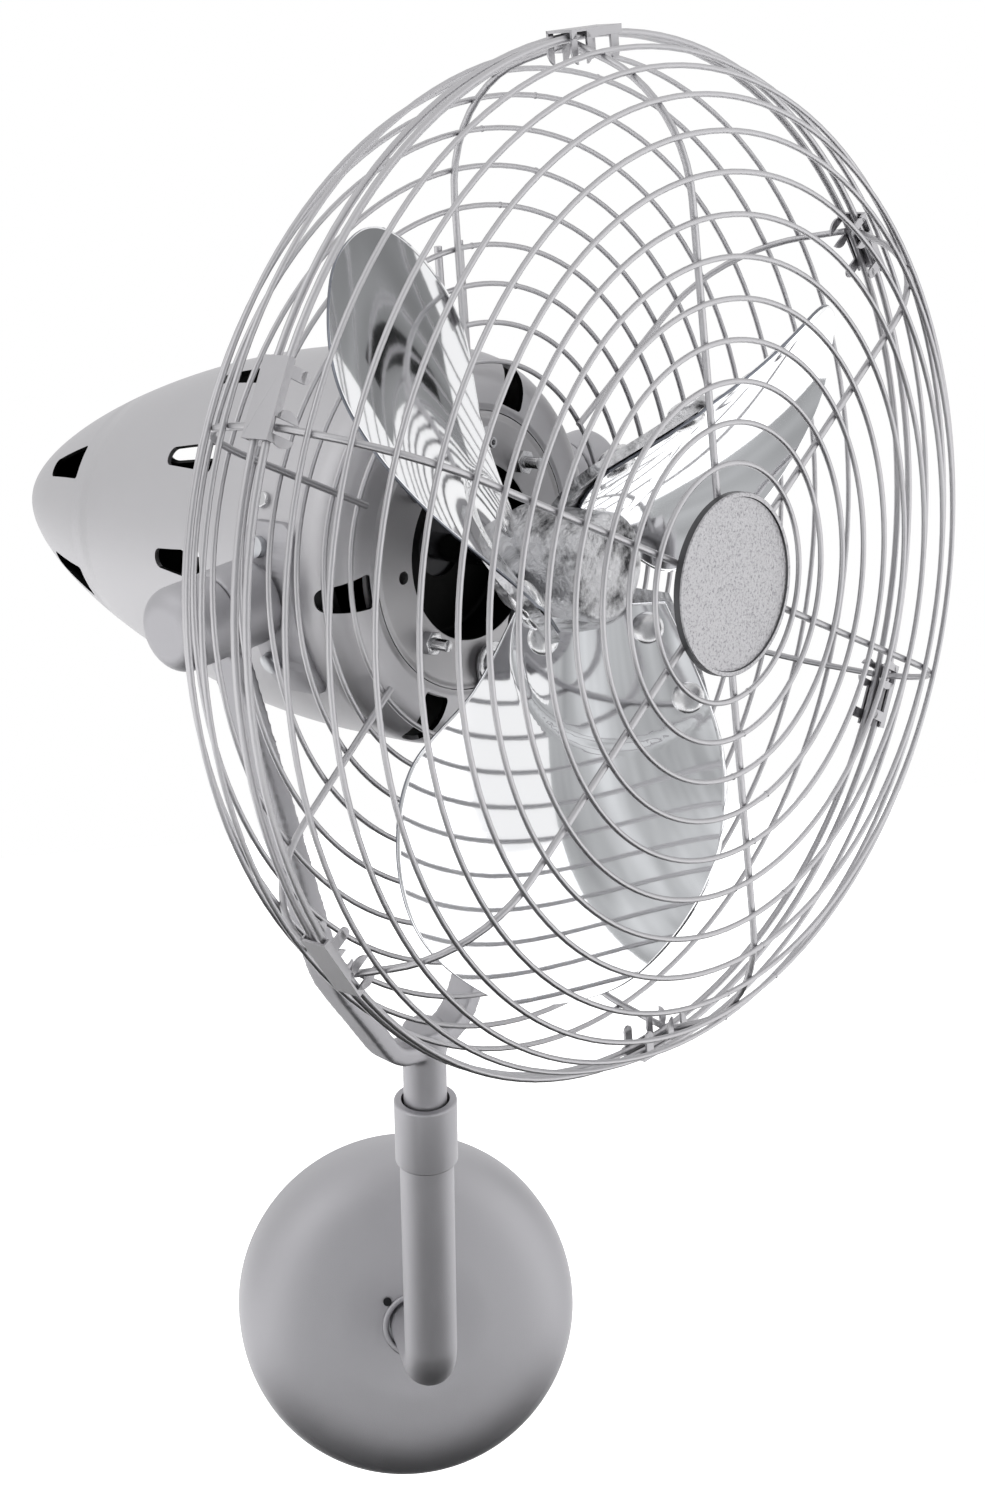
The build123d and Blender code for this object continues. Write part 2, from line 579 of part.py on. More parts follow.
def bullet(inset):
    """Solid of the housing's form, inset by a wall: rounded shoulder in front, curved tail behind."""
    radius = HOUSING_RADIUS - inset
    tail = HOUSING_TAIL - inset
    front = HOUSING_FRONT - inset
    shoulder = HOUSING_SHOULDER - inset
    turn = radius - shoulder
    middle = (turn + shoulder * sin(pi / 4), front - shoulder + shoulder * sin(pi / 4))
    section = make_face([
        Bezier((0, -tail), (TAIL_NOSE - inset, -tail), (radius, -TAIL_FLANK), (radius, 0)),
        Line((radius, 0), (radius, front - shoulder)),
        ThreePointArc((radius, front - shoulder), middle, (turn, front)),
        Line((turn, front), (0, front)), Line((0, front), (0, -tail))])
    return revolve(Plane.XZ * section, Axis.Z)


def vent(length, wide, narrow):
    """Cutter for a drop-shaped vent: +x runs to its narrow, rounded end and +z out of the shell."""
    half = length / 2
    tip = narrow / 2
    face = outline(
        (-half, wide / 2, VENT_CORNER), (-half, -wide / 2, VENT_CORNER), (half, -tip, tip), (half, tip, tip))
    return extrude(face, HOUSING_RADIUS)


def vents():
    """Cutters of the three rows of vents: round the shoulder, along the side and on the tail."""
    shoulder = (HOUSING_RADIUS - HOUSING_SHOULDER, HOUSING_FRONT - HOUSING_SHOULDER)
    drop = vent(SHOULDER_VENT_LENGTH, SHOULDER_VENT_WIDE, SHOULDER_VENT_NARROW)
    cutters = [clock(SHOULDER_VENT_ANGLE + index * 360 / SHOULDER_VENTS) * Pos(shoulder[0], 0, shoulder[1])
               * Rot(0, 45, 0) * Pos(-SHOULDER_VENT_SHIFT, 0, 0) * drop for index in range(SHOULDER_VENTS)]
    rows = ((SIDE_VENTS, SIDE_VENT_ANGLE, SIDE_VENT_BACK, SIDE_VENT_LENGTH, SIDE_VENT_WIDE, SIDE_VENT_NARROW),
            (TAIL_VENTS, TAIL_VENT_ANGLE, TAIL_VENT_BACK, TAIL_VENT_LENGTH, TAIL_VENT_WIDE, TAIL_VENT_NARROW))
    for count, angle, back, length, wide, narrow in rows:
        drop = Pos(0, 0, length / 2 - back) * Rot(0, 90, 0) * vent(length, wide, narrow)
        cutters += [clock(angle + index * 360 / count) * drop for index in range(count)]
    return cutters


def motor_housing():
    """Spun bullet-shaped shell, open in front inside its seam, with three rows of vents."""
    sheet = HOUSING_SHEET
    body = bullet(0) - bullet(sheet)
    body -= disc(SEAM_RADIUS, HOUSING_FRONT - sheet, HOUSING_FRONT)
    for _, side in SIDES:
        body -= [place * disc(PAD_SCREW_RADIUS, SEAM_RADIUS, PAD_OUTER) for place in pad_places(side)]
    body -= [place * disc(HOUSING_SCREW_RADIUS, SEAM_RADIUS, PAD_OUTER) for place in housing_screw_places()]
    return SPIN * (body - vents())


def housing_screw_places():
    ahead = Pos(0, 0, HOUSING_SCREW_AHEAD)
    return [ahead * clock(side * HOUSING_SCREW_ANGLE) * Rot(0, 90, 0) for _, side in SIDES]


def housing_screws():
    """Two round-headed screws through the drum above the pads."""
    base = HOUSING_RADIUS
    screw = disc(HOUSING_SCREW_RADIUS, base - HOUSING_SCREW_LENGTH, base)
    top = base + HOUSING_SCREW_HEAD_HEIGHT
    dome = HOUSING_SCREW_HEAD_HEIGHT - TURNING_GAP
    head = turned((0, base, 0), (HOUSING_SCREW_HEAD, base, 0), (HOUSING_SCREW_HEAD, top, dome), (0, top, 0))
    return SPIN * Compound([place * (screw + head) for place in housing_screw_places()])


def stud_places():
    angles = [MOTOR_STUD_ANGLE + index * 360 / MOTOR_STUDS for index in range(MOTOR_STUDS)]
    return [clock(angle) * Pos(MOTOR_STUD_CIRCLE, 0, 0) for angle in angles]


def guard_screw_places():
    return [clock(angle) * Pos(HAIRPIN_SCREW_CIRCLE, 0, 0) for angle in (0, 180)]


def front_plate():
    """Drawn plate behind the seam, with a cup that carries the front bearing."""
    face = HOUSING_FRONT
    sheet = PLATE_SHEET
    under = face - HOUSING_SHEET
    rim = SEAM_RADIUS - SEAM_GAP
    boss = BEARING_RADIUS + BOSS_WALL
    body = turned(
        (BEARING_LIP, CUP_FLOOR, 0), (OPENING_RADIUS, CUP_FLOOR, sheet), (OPENING_RADIUS, face, sheet / 2),
        (rim, face, 0), (rim, under, 0), (SEAM_RADIUS + PLATE_FLANGE, under, 0),
        (SEAM_RADIUS + PLATE_FLANGE, under - sheet, 0), (rim - sheet, under - sheet, 0),
        (rim - sheet, face - sheet, 0), (OPENING_RADIUS + sheet, face - sheet, 0),
        (OPENING_RADIUS + sheet, FRONT_BEARING, sheet), (boss, FRONT_BEARING, 0),
        (boss, FRONT_BEARING - BEARING_WIDTH, 0), (BEARING_RADIUS, FRONT_BEARING - BEARING_WIDTH, 0),
        (BEARING_RADIUS, FRONT_BEARING, 0), (BEARING_LIP, FRONT_BEARING, 0))
    body -= [place * disc(MOTOR_STUD_RADIUS, face - sheet, face) for place in stud_places()]
    body -= [place * disc(GUARD_SCREW_RADIUS, face - sheet, face) for place in guard_screw_places()]
    body -= earth_stud_place() * disc(EARTH_STUD_RADIUS, face - sheet, face)
    body -= clock(PLATE_HOLE_ANGLE) * Pos(PLATE_HOLE_CIRCLE, 0, 0) * disc(PLATE_HOLE_RADIUS, face - sheet, face)
    return SPIN * body


def earth_stud_place():
    return clock(EARTH_STUD_ANGLE) * Pos(EARTH_STUD_CIRCLE, 0, 0)


def earth_stud():
    """Hollow stud on an oval tag, riveted into the front plate."""
    tag = extrude(SlotOverall(EARTH_TAG_LENGTH, EARTH_TAG_WIDTH), EARTH_TAG_SHEET)
    body = Pos(0, 0, HOUSING_FRONT) * tag + disc(EARTH_STUD_RADIUS, HOUSING_FRONT - PLATE_SHEET, EARTH_STUD_TIP)
    body -= disc(EARTH_STUD_BORE, HOUSING_FRONT, EARTH_STUD_TIP)
    return SPIN * earth_stud_place() * body


def rear_plate():
    """Flat plate on the studs with a boss for the rear bearing."""
    back = REAR_PLATE - PLATE_SHEET
    boss = BEARING_RADIUS + BOSS_WALL
    body = turned(
        (BEARING_RADIUS, REAR_PLATE, 0), (STATOR_RADIUS, REAR_PLATE, 0), (STATOR_RADIUS, back, 0),
        (boss, back, 0), (boss, REAR_PLATE - BEARING_WIDTH, 0), (BEARING_RADIUS, REAR_PLATE - BEARING_WIDTH, 0))
    body -= [place * disc(MOTOR_STUD_RADIUS, back, REAR_PLATE) for place in stud_places()]
    return SPIN * body


def bearing(front):
    return SPIN * washer(BEARING_RADIUS, SHAFT_RADIUS + RUNNING_FIT, front - BEARING_WIDTH, front)


def stator_core():
    """Steel stack on the studs."""
    body = washer(STATOR_RADIUS, STATOR_BORE, STATOR_BACK, STATOR_FRONT)
    body -= [place * disc(MOTOR_STUD_RADIUS, STATOR_BACK, STATOR_FRONT) for place in stud_places()]
    return SPIN * body


def stator_windings():
    """End turns in front of and behind the stack."""
    inner = STATOR_BORE + CLEARANCE
    rings = [washer(WINDING_RADIUS, inner, STATOR_FRONT, STATOR_FRONT + WINDING_LENGTH),
             washer(WINDING_RADIUS, inner, STATOR_BACK - WINDING_LENGTH, STATOR_BACK)]
    return SPIN * Compound(rings)


def motor_studs():
    """Studs through plate, stack and rear plate, thicker where they space them apart."""
    back = REAR_PLATE - PLATE_SHEET - MOTOR_NUT_HEIGHT
    stud = disc(MOTOR_STUD_RADIUS, back, MOTOR_STUD_TIP)
    stud += disc(MOTOR_SPACER_RADIUS, STATOR_FRONT, HOUSING_FRONT - PLATE_SHEET)
    stud += disc(MOTOR_SPACER_RADIUS, REAR_PLATE, STATOR_BACK)
    return SPIN * Compound([place * stud for place in stud_places()])


def motor_nuts():
    """Hexagon nuts on both ends of the studs."""
    back = REAR_PLATE - PLATE_SHEET
    nuts = [hexagon(MOTOR_NUT_FLATS, HOUSING_FRONT, HOUSING_FRONT + MOTOR_NUT_HEIGHT),
            hexagon(MOTOR_NUT_FLATS, back - MOTOR_NUT_HEIGHT, back)]
    bore = disc(MOTOR_STUD_RADIUS, back - MOTOR_NUT_HEIGHT, HOUSING_FRONT + MOTOR_NUT_HEIGHT)
    return SPIN * Compound([place * (nut - bore) for place in stud_places() for nut in nuts])


# ---- Rotor

def rotor_core():
    return SPIN * washer(STATOR_BORE - AIR_GAP, SHAFT_RADIUS, STATOR_BACK, STATOR_FRONT)


def motor_shaft():
    """Shaft from behind the rear bearing to the front of the hub."""
    back = REAR_PLATE - BEARING_WIDTH - SHAFT_RADIUS / 2
    return SPIN * disc(SHAFT_RADIUS, back, HUB_FRONT - HUB_ROUNDING)


def blade_frame(index):
    """Frame of one blade: +x out along the blade, +y across it, +z to its front."""
    angle = FIRST_BLADE_ANGLE + index * 360 / BLADE_COUNT
    return clock(angle) * Pos(0, 0, BLADE_ROOT_AHEAD) * Rot(0, -BLADE_RAKE, 0) * Rot(BLADE_PITCH, 0, 0)


def blade_camber(reach):
    return BLADE_CAMBER - BLADE_CAMBER_FADE * (reach - BLADE_MIDDLE)


def blade_slope(reach, across):
    """Slope of the blade's middle surface across it."""
    return BLADE_TWIST * (BLADE_MIDDLE - reach) + blade_camber(reach) * (across - BLADE_CREST)


def blade_height(reach, across):
    """Height of the blade's middle surface over its own frame."""
    twist = across * BLADE_TWIST * (BLADE_MIDDLE - reach)
    return twist + blade_camber(reach) * (across - BLADE_CREST) ** 2 / 2


def blade_curve(reach, lift):
    """Parabola across the blade at a reach, lifted off its middle surface."""
    low, high = BLADE_BLANK_EDGES
    middle = (low + high) / 2
    crown = blade_height(reach, low) + blade_slope(reach, low) * (middle - low)
    return Bezier((reach, low, blade_height(reach, low) + lift), (reach, middle, crown + lift),
                  (reach, high, blade_height(reach, high) + lift))


def twisted_sheet(low, high):
    """Sheet between two heights off the blade's middle surface, before it is trimmed."""
    sections = []
    for reach in (0, BLADE_TIP + BLADE_BLANK_MARGIN):
        under = blade_curve(reach, low)
        over = blade_curve(reach, high)
        sections.append(make_face([under, Line(under @ 1, over @ 1), over, Line(over @ 0, under @ 0)]))
    return loft(sections, ruled=True)


def trim(face):
    """Prism through a sheet, from its outline seen square to the blade."""
    return extrude(face, 2 * HUB_FRONT, both=True)


def blade(index):
    """Paddle blade: a twisted, cambered sheet trimmed to its outline."""
    root_start, root_end = BLADE_ROOT
    edge = Spline(root_end, *[(BLADE_TIP - short, across) for short, across in BLADE_OUTLINE], root_start)
    paddle = make_face([edge, Line(root_start, root_end)])
    body = twisted_sheet(-BLADE_SHEET / 2, BLADE_SHEET / 2) & trim(paddle)
    body -= [rivet_frame(place) * disc(RIVET_SHANK, -HUB_ARM_SHEET, HUB_ARM_SHEET) for place in RIVET_PLACES]
    placed = blade_frame(index) * body
    return SPIN * (placed - disc(HUB_RADIUS + TURNING_GAP, 0, 2 * HUB_FRONT))


def rivet_frame(place):
    """Frame square to the blade's surface at a place on it."""
    reach, across = place
    return Pos(reach, across, blade_height(reach, across)) * Rot(degrees(atan(blade_slope(reach, across))), 0, 0)


def hub_arm():
    """Cast arm behind a blade's root, in the blade's frame."""
    front = -BLADE_SHEET / 2 - RUNNING_FIT
    body = twisted_sheet(front - HUB_ARM_SHEET, front) & trim(outline(*HUB_ARM_OUTLINE))
    shank = disc(RIVET_SHANK, -2 * HUB_ARM_SHEET, HUB_ARM_SHEET)
    return body - [rivet_frame(place) * shank for place in RIVET_PLACES]


def set_screw_frame():
    return Pos(0, 0, HUB_BACK + SET_SCREW_AHEAD) * clock(SET_SCREW_ANGLE) * Rot(0, 90, 0)


def fan_hub():
    """Barrel on the shaft with one arm per blade."""
    body = turned(
        (0, HUB_BACK, 0), (HUB_RADIUS, HUB_BACK, HUB_ROUNDING), (HUB_RADIUS, HUB_FRONT, HUB_ROUNDING),
        (0, HUB_FRONT, 0))
    arm = hub_arm()
    body += [blade_frame(index) * arm for index in range(BLADE_COUNT)]
    body -= disc(SHAFT_RADIUS, HUB_BACK - HUB_ARM_SHEET, HUB_FRONT - HUB_ROUNDING)
    body -= set_screw_frame() * disc(SET_SCREW_RADIUS, SHAFT_RADIUS, HUB_RADIUS)
    return SPIN * body


def hub_set_screw():
    body = set_screw_frame() * disc(SET_SCREW_RADIUS, SHAFT_RADIUS, SHAFT_RADIUS + SET_SCREW_LENGTH)
    return SPIN * (body - disc(SHAFT_RADIUS, HUB_BACK, HUB_FRONT))


def blade_rivets():
    """Headed rivets through each blade and the arm behind it, seated on both curved faces."""
    half = BLADE_SHEET / 2
    back = -half - HUB_ARM_SHEET
    stack = twisted_sheet(back - RUNNING_FIT, half)
    rivets = []
    for place in RIVET_PLACES:
        heads = rivet_frame(place) * disc(RIVET_HEAD, back - RIVET_HEAD_HEIGHT, half + RIVET_HEAD_HEIGHT) - stack
        rivets.append(heads + rivet_frame(place) * disc(RIVET_SHANK, back, half))
    return SPIN * Compound([blade_frame(index) * rivet for index in range(BLADE_COUNT) for rivet in rivets])


# ---- Cage

def cage_point(side, run, inset=0.0):
    """Point (radius, ahead) on a guard's profile, a run past its first ring and inset from it."""
    first, crown, straight, slope, radius, facing = side
    turn = slope + max(run - straight, 0) / radius
    back = min(run - straight, 0)
    centre = first + straight * cos(slope) - radius * sin(slope)
    level = crown - facing * (straight * sin(slope) + radius * cos(slope))
    return (centre + (radius - inset) * sin(turn) + back * cos(slope),
            level + facing * ((radius - inset) * cos(turn) - back * sin(slope)))


def rim(ahead):
    """Round wire that closes a guard; the clips turn on the rear one."""
    return Pos(0, 0, ahead) * Torus(RIM_RADIUS, RIM_WIRE / 2)


def ring(radius, ahead, wire):
    """Closed ring of square-rolled wire."""
    return revolve(Plane.XZ * (Pos(radius, ahead) * Rectangle(wire, wire)), Axis.Z)


def cage_rings(side, pitch, count):
    return [ring(*cage_point(side, index * pitch), RING_WIRE) for index in range(count)]


def radial_wire(side, start, rim_ahead):
    """Wire on the inside of the rings: straight, round the turn, then straight to the rim."""
    first, crown, straight, slope, radius, facing = side
    bend = radius - RADIAL_INSET
    end = (RIM_RADIUS - (RIM_WIRE + RADIAL_WIRE) / 2 + WELD_SINK, rim_ahead)
    foot = cage_point(side, straight, RADIAL_INSET)
    centre = (foot[0] - bend * sin(slope), foot[1] - facing * bend * cos(slope))
    out = end[0] - centre[0]
    away = facing * (end[1] - centre[1])
    turn = atan2(out, away) - acos(bend / hypot(out, away)) - slope
    middle = cage_point(side, straight + radius * turn / 2, RADIAL_INSET)
    last = cage_point(side, straight + radius * turn, RADIAL_INSET)
    path = Wire([
        Line(xz(cage_point(side, start, RADIAL_INSET)), xz(foot)),
        ThreePointArc(xz(foot), xz(middle), xz(last)), Line(xz(last), xz(end))])
    square = Rectangle(RADIAL_WIRE, RADIAL_WIRE)
    return sweep(Plane(origin=path @ 0, x_dir=(0, 1, 0), z_dir=path % 0) * square, path)


def xz(point):
    return Vector(point[0], 0, point[1])


def radial_wires(wire):
    return [clock(index * 360 / RADIAL_COUNT) * wire for index in range(RADIAL_COUNT)]


def hairpin():
    """Mounting loop: two legs behind the innermost rings, joined round the guard screw."""
    half = HAIRPIN_HALF_WIDTH
    bed = HOUSING_FRONT + HAIRPIN_WIRE / 2
    knee = cage_point(REAR_SIDE, 0, -HAIRPIN_INSET)
    reach = (HAIRPIN_RINGS - 1) * REAR_PITCH + HAIRPIN_OVERHANG
    far = cage_point(REAR_SIDE, reach, -HAIRPIN_INSET)
    near = HAIRPIN_SCREW_CIRCLE
    edge = near + GUARD_WASHER_RADIUS + CLEARANCE
    legs = [Polyline((far[0], y, far[1]), (knee[0], y, knee[1]), (edge, y, bed), (near, y, bed))
            for y in (-half, half)]
    bars = []
    for leg in legs:
        square = Plane(origin=leg @ 0, x_dir=(0, 1, 0), z_dir=leg % 0) * Rectangle(HAIRPIN_WIRE, HAIRPIN_WIRE)
        bars.append(sweep(square, leg, transition=Transition.RIGHT))
    bow = Pos(near, 0, bed) * ring(half, 0, HAIRPIN_WIRE)
    bow &= Pos(near - 2 * half, 0, bed) * Box(4 * half, 4 * half, 2 * HAIRPIN_WIRE)
    return [*bars, bow]


def rear_guard():
    """Welded wire bowl behind the blades, open round the housing."""
    wire = radial_wire(REAR_SIDE, -REAR_RADIAL_OVERHANG, REAR_RIM)
    body = rim(REAR_RIM)
    body += cage_rings(REAR_SIDE, REAR_PITCH, REAR_RINGS) + radial_wires(wire)
    body += [clock(angle) * bar for angle in (0, 180) for bar in hairpin()]
    return SPIN * body


def front_guard():
    """Welded wire dome in front of the blades, with a backing disc for the badge."""
    wire = radial_wire(FRONT_SIDE, FRONT_RADIAL_START - FRONT_FIRST_RING, FRONT_RIM)
    body = rim(FRONT_RIM)
    backing = washer(BACKING_RADIUS, BADGE_RIVET_RADIUS, BACKING_BACK, BADGE_BACK)
    body += cage_rings(FRONT_SIDE, FRONT_PITCH, FRONT_RINGS) + radial_wires(wire) + [backing]
    return SPIN * body


def guard_screws():
    """Screws that hold the rear guard's two loops to the front plate."""
    bed = HOUSING_FRONT + HAIRPIN_WIRE + GUARD_WASHER
    screw = disc(GUARD_SCREW_RADIUS, HOUSING_FRONT - PLATE_SHEET, bed)
    screw += disc(GUARD_SCREW_HEAD, bed, bed + GUARD_SCREW_HEAD_HEIGHT)
    return SPIN * Compound([place * screw for place in guard_screw_places()])


def guard_washers():
    bed = HOUSING_FRONT + HAIRPIN_WIRE
    flat = washer(GUARD_WASHER_RADIUS, GUARD_SCREW_RADIUS, bed, bed + GUARD_WASHER)
    return SPIN * Compound([place * flat for place in guard_screw_places()])


def guard_badge():
    """Bare round disc with a raised rim."""
    top = BADGE_BACK + BADGE_THICKNESS
    floor = top - BADGE_RECESS
    inner = BADGE_RADIUS - BADGE_RIM_WIDTH
    return SPIN * turned(
        (BADGE_RIVET_RADIUS, BADGE_BACK, 0), (BADGE_RADIUS, BADGE_BACK, 0), (BADGE_RADIUS, top, BADGE_RECESS),
        (inner, top, 0), (inner, floor, 0), (BADGE_RIVET_RADIUS, floor, 0))


def badge_rivet():
    """Stud that the badge is fastened with, headed behind the backing disc."""
    low = BACKING_BACK - BADGE_RIVET_HEAD_HEIGHT
    body = disc(BADGE_RIVET_HEAD, low, BACKING_BACK)
    body += disc(BADGE_RIVET_RADIUS, BACKING_BACK, BADGE_BACK + BADGE_THICKNESS - BADGE_RECESS)
    return SPIN * body


def clip_angle(index):
    return index * 360 / RADIAL_COUNT + degrees(CLIP_PAST_RADIAL / RIM_RADIUS)


def guard_clip(index):
    """Spring channel over both rim wires, slotted for the radial wires."""
    wire = RIM_WIRE / 2
    inner = RIM_RADIUS + wire + CLIP_FACE_GAP
    low = REAR_RIM - wire - CLIP_GAP
    high = FRONT_RIM + wire + CLIP_GAP
    sheet = CLIP_SHEET
    open_edge = inner + sheet - CLIP_DEPTH
    section = outline(
        (open_edge, low - sheet, 0), (inner + sheet, low - sheet, sheet), (inner + sheet, high + sheet, sheet),
        (open_edge, high + sheet, 0), (open_edge, high, 0), (inner, high, 0), (inner, low, 0), (open_edge, low, 0))
    body = extrude(Plane.XZ * section, CLIP_LENGTH / 2, both=True)
    gap = Box(CLIP_DEPTH, CLIP_SLOT, high - low + 4 * sheet)
    body -= Pos(inner - sheet - CLIP_DEPTH / 2, CLIP_PAST_RADIAL, (low + high) / 2) * gap
    mouth = Box(2 * CLIP_DEPTH, CLIP_SLOT, 2 * sheet + 2 * CLIP_GAP)
    body -= Pos(inner, CLIP_PAST_RADIAL, low - sheet / 2) * mouth
    return SPIN * clock(clip_angle(index)) * body


# ---- All pieces

def pieces():
    made = {
        "wall_bracket": wall_bracket(),
        "canopy": canopy(),
        "canopy_screws": canopy_screws(),
        "arm_lock_nuts": arm_lock_nuts(),
        "arm_tube": arm_tube(),
        "swivel_collar": swivel_collar(),
        "swivel_bushing": swivel_bushing(),
        "thrust_washer": thrust_washer(),
        "swivel_ring": swivel_ring(),
        "yoke": yoke(),
        "bracket_screws": bracket_screws(),
        "friction_washers": friction_washers(),
        "motor_housing": motor_housing(),
        "housing_screws": housing_screws(),
        "front_plate": front_plate(),
        "earth_stud": earth_stud(),
        "rear_plate": rear_plate(),
        "front_bearing": bearing(FRONT_BEARING),
        "rear_bearing": bearing(REAR_PLATE),
        "stator_core": stator_core(),
        "stator_windings": stator_windings(),
        "motor_studs": motor_studs(),
        "motor_nuts": motor_nuts(),
        "rotor_core": rotor_core(),
        "motor_shaft": motor_shaft(),
        "fan_hub": fan_hub(),
        "hub_set_screw": hub_set_screw(),
        "blade_rivets": blade_rivets(),
        "rear_guard": rear_guard(),
        "guard_screws": guard_screws(),
        "guard_washers": guard_washers(),
        "front_guard": front_guard(),
        "guard_badge": guard_badge(),
        "badge_rivet": badge_rivet(),
    }
    for name, side in SIDES:
        made[f"knob_{name}"] = knob(side)
        made[f"tilt_stud_{name}"] = tilt_stud(side)
        made[f"tilt_bracket_{name}"] = tilt_bracket(side)
    for index in range(BLADE_COUNT):
        made[f"blade_{index + 1}"] = blade(index)
    for index in range(RADIAL_COUNT):
        made[f"guard_clip_{index + 1}"] = guard_clip(index)
    return made


os.makedirs("parts", exist_ok=True)
for node, shape in pieces().items():
    export_step(shape, f"parts/{node}.step")
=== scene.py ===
import json
from math import acos, atan, atan2, cos, hypot, pi, radians, sin, tan

import bmesh
import bpy
from mathutils import Matrix, Vector


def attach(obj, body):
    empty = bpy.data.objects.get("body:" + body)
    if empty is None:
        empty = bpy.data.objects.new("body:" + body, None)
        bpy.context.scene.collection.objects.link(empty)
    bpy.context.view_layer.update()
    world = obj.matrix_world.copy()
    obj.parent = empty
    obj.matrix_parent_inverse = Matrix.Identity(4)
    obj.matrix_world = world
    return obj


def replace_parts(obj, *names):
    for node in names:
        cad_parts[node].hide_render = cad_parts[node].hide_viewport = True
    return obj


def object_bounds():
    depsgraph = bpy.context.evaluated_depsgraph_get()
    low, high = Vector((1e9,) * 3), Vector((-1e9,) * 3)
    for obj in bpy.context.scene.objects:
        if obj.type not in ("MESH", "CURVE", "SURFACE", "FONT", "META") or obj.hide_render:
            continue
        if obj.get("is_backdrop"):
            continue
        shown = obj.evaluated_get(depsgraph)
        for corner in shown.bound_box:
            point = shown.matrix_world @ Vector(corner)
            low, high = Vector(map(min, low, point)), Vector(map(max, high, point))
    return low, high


# Wall mounted fan: a bullet-shaped motor in a round wire cage, tilting in a fork that swivels on a
# bent tube out of a domed canopy. Metres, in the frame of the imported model.
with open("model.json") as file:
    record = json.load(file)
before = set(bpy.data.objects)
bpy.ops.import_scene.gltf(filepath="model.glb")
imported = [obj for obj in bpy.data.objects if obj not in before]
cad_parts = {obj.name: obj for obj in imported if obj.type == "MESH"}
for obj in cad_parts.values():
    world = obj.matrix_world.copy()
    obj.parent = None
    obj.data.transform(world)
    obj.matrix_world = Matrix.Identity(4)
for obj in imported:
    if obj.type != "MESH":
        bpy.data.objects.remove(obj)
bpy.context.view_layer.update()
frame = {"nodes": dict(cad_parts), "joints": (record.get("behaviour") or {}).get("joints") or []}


# ---- Canopy
# Spun steel dome that hides the wall box, satin nickel plated over a bead-blasted skin. A rolled
# lip stands round the arm's hole, and two small black socket screws hold it to the bracket.
MERGE_GAP = 1e-6
CREASE = radians(32)
SKIN_OUTPUTS = (("Color", "NodeSocketColor"), ("Roughness", "NodeSocketFloat"),
                ("Normal", "NodeSocketVector"))


def fill(tree, socket, value):
    """Gives a socket a value, or links another node's output to it."""
    if isinstance(value, bpy.types.NodeSocket):
        tree.links.new(value, socket)
    else:
        socket.default_value = value


def add_node(tree, kind, **sockets):
    """Puts a node in a tree and fills its named sockets."""
    node = tree.nodes.new(kind)
    for name, value in sockets.items():
        fill(tree, node.inputs[name.replace("_", " ")], value)
    return node


def reckon(tree, operation, *values, kind="ShaderNodeMath"):
    """Adds a math node and fills its sockets in turn. Gives the node's outputs."""
    node = tree.nodes.new(kind)
    node.operation = operation
    for socket, value in zip(node.inputs, values):
        fill(tree, socket, value)
    return node.outputs


def make_group(name, inputs, outputs):
    """Empty shader group with named inputs (name, kind, value) and outputs (name, kind)."""
    tree = bpy.data.node_groups.new(name, "ShaderNodeTree")
    for title, kind, value in inputs:
        socket = tree.interface.new_socket(title, in_out="INPUT", socket_type=kind)
        socket.default_value = value
    for title, kind in outputs:
        tree.interface.new_socket(title, in_out="OUTPUT", socket_type=kind)
    return (tree, tree.nodes.new("NodeGroupInput").outputs,
            tree.nodes.new("NodeGroupOutput").inputs)


def make_plated_skin():
    """Plating over a blasted surface: fine tooth, faint clouds of colour and uneven gloss."""
    tree, given, result = make_group(
        "Plated skin",
        [("Color", "NodeSocketColor", (0.5, 0.5, 0.5, 1)), ("Clouds", "NodeSocketFloat", 0.06),
         ("Roughness", "NodeSocketFloat", 0.4), ("Gloss spread", "NodeSocketFloat", 0.08),
         ("Tooth", "NodeSocketFloat", 0.1), ("Tooth scale", "NodeSocketFloat", 2600.0)],
        SKIN_OUTPUTS)
    where = tree.nodes.new("ShaderNodeTexCoord").outputs["Object"]
    clouds = add_node(tree, "ShaderNodeTexNoise", Vector=where, Scale=22.0, Detail=4.0)
    speckle = add_node(tree, "ShaderNodeTexNoise", Vector=where, Scale=given["Tooth scale"],
                       Detail=2.0)
    centred = reckon(tree, "SUBTRACT", clouds.outputs["Fac"], 0.5)[0]
    tint = reckon(tree, "MULTIPLY_ADD", centred, given["Clouds"], 1.0)[0]
    shade = reckon(tree, "MULTIPLY", given["Color"], tint, kind="ShaderNodeVectorMath")[0]
    gloss = reckon(tree, "MULTIPLY_ADD", centred, given["Gloss spread"], given["Roughness"])[0]
    bump = add_node(tree, "ShaderNodeBump", Strength=given["Tooth"], Distance=0.0002,
                    Height=speckle.outputs["Fac"])
    tree.links.new(shade, result["Color"])
    tree.links.new(gloss, result["Roughness"])
    tree.links.new(bump.outputs["Normal"], result["Normal"])
    return tree


PLATED_SKIN = make_plated_skin()


def new_material(name):
    """New material, with its node tree and the Principled shader in it."""
    material = bpy.data.materials.new(name)
    material.use_nodes = True
    return material, material.node_tree, material.node_tree.nodes["Principled BSDF"]


def metal(name, skin, metallic=1.0, **values):
    """Metal whose colour, gloss and relief come from a skin group with this finish's own values."""
    material, tree, shader = new_material(name)
    shader.inputs["Metallic"].default_value = metallic
    group = tree.nodes.new("ShaderNodeGroup")
    group.node_tree = skin
    for title, value in values.items():
        group.inputs[title.replace("_", " ")].default_value = value
    tree.links.new(group.outputs["Color"], shader.inputs["Base Color"])
    tree.links.new(group.outputs["Roughness"], shader.inputs["Roughness"])
    tree.links.new(group.outputs["Normal"], shader.inputs["Normal"])
    return material


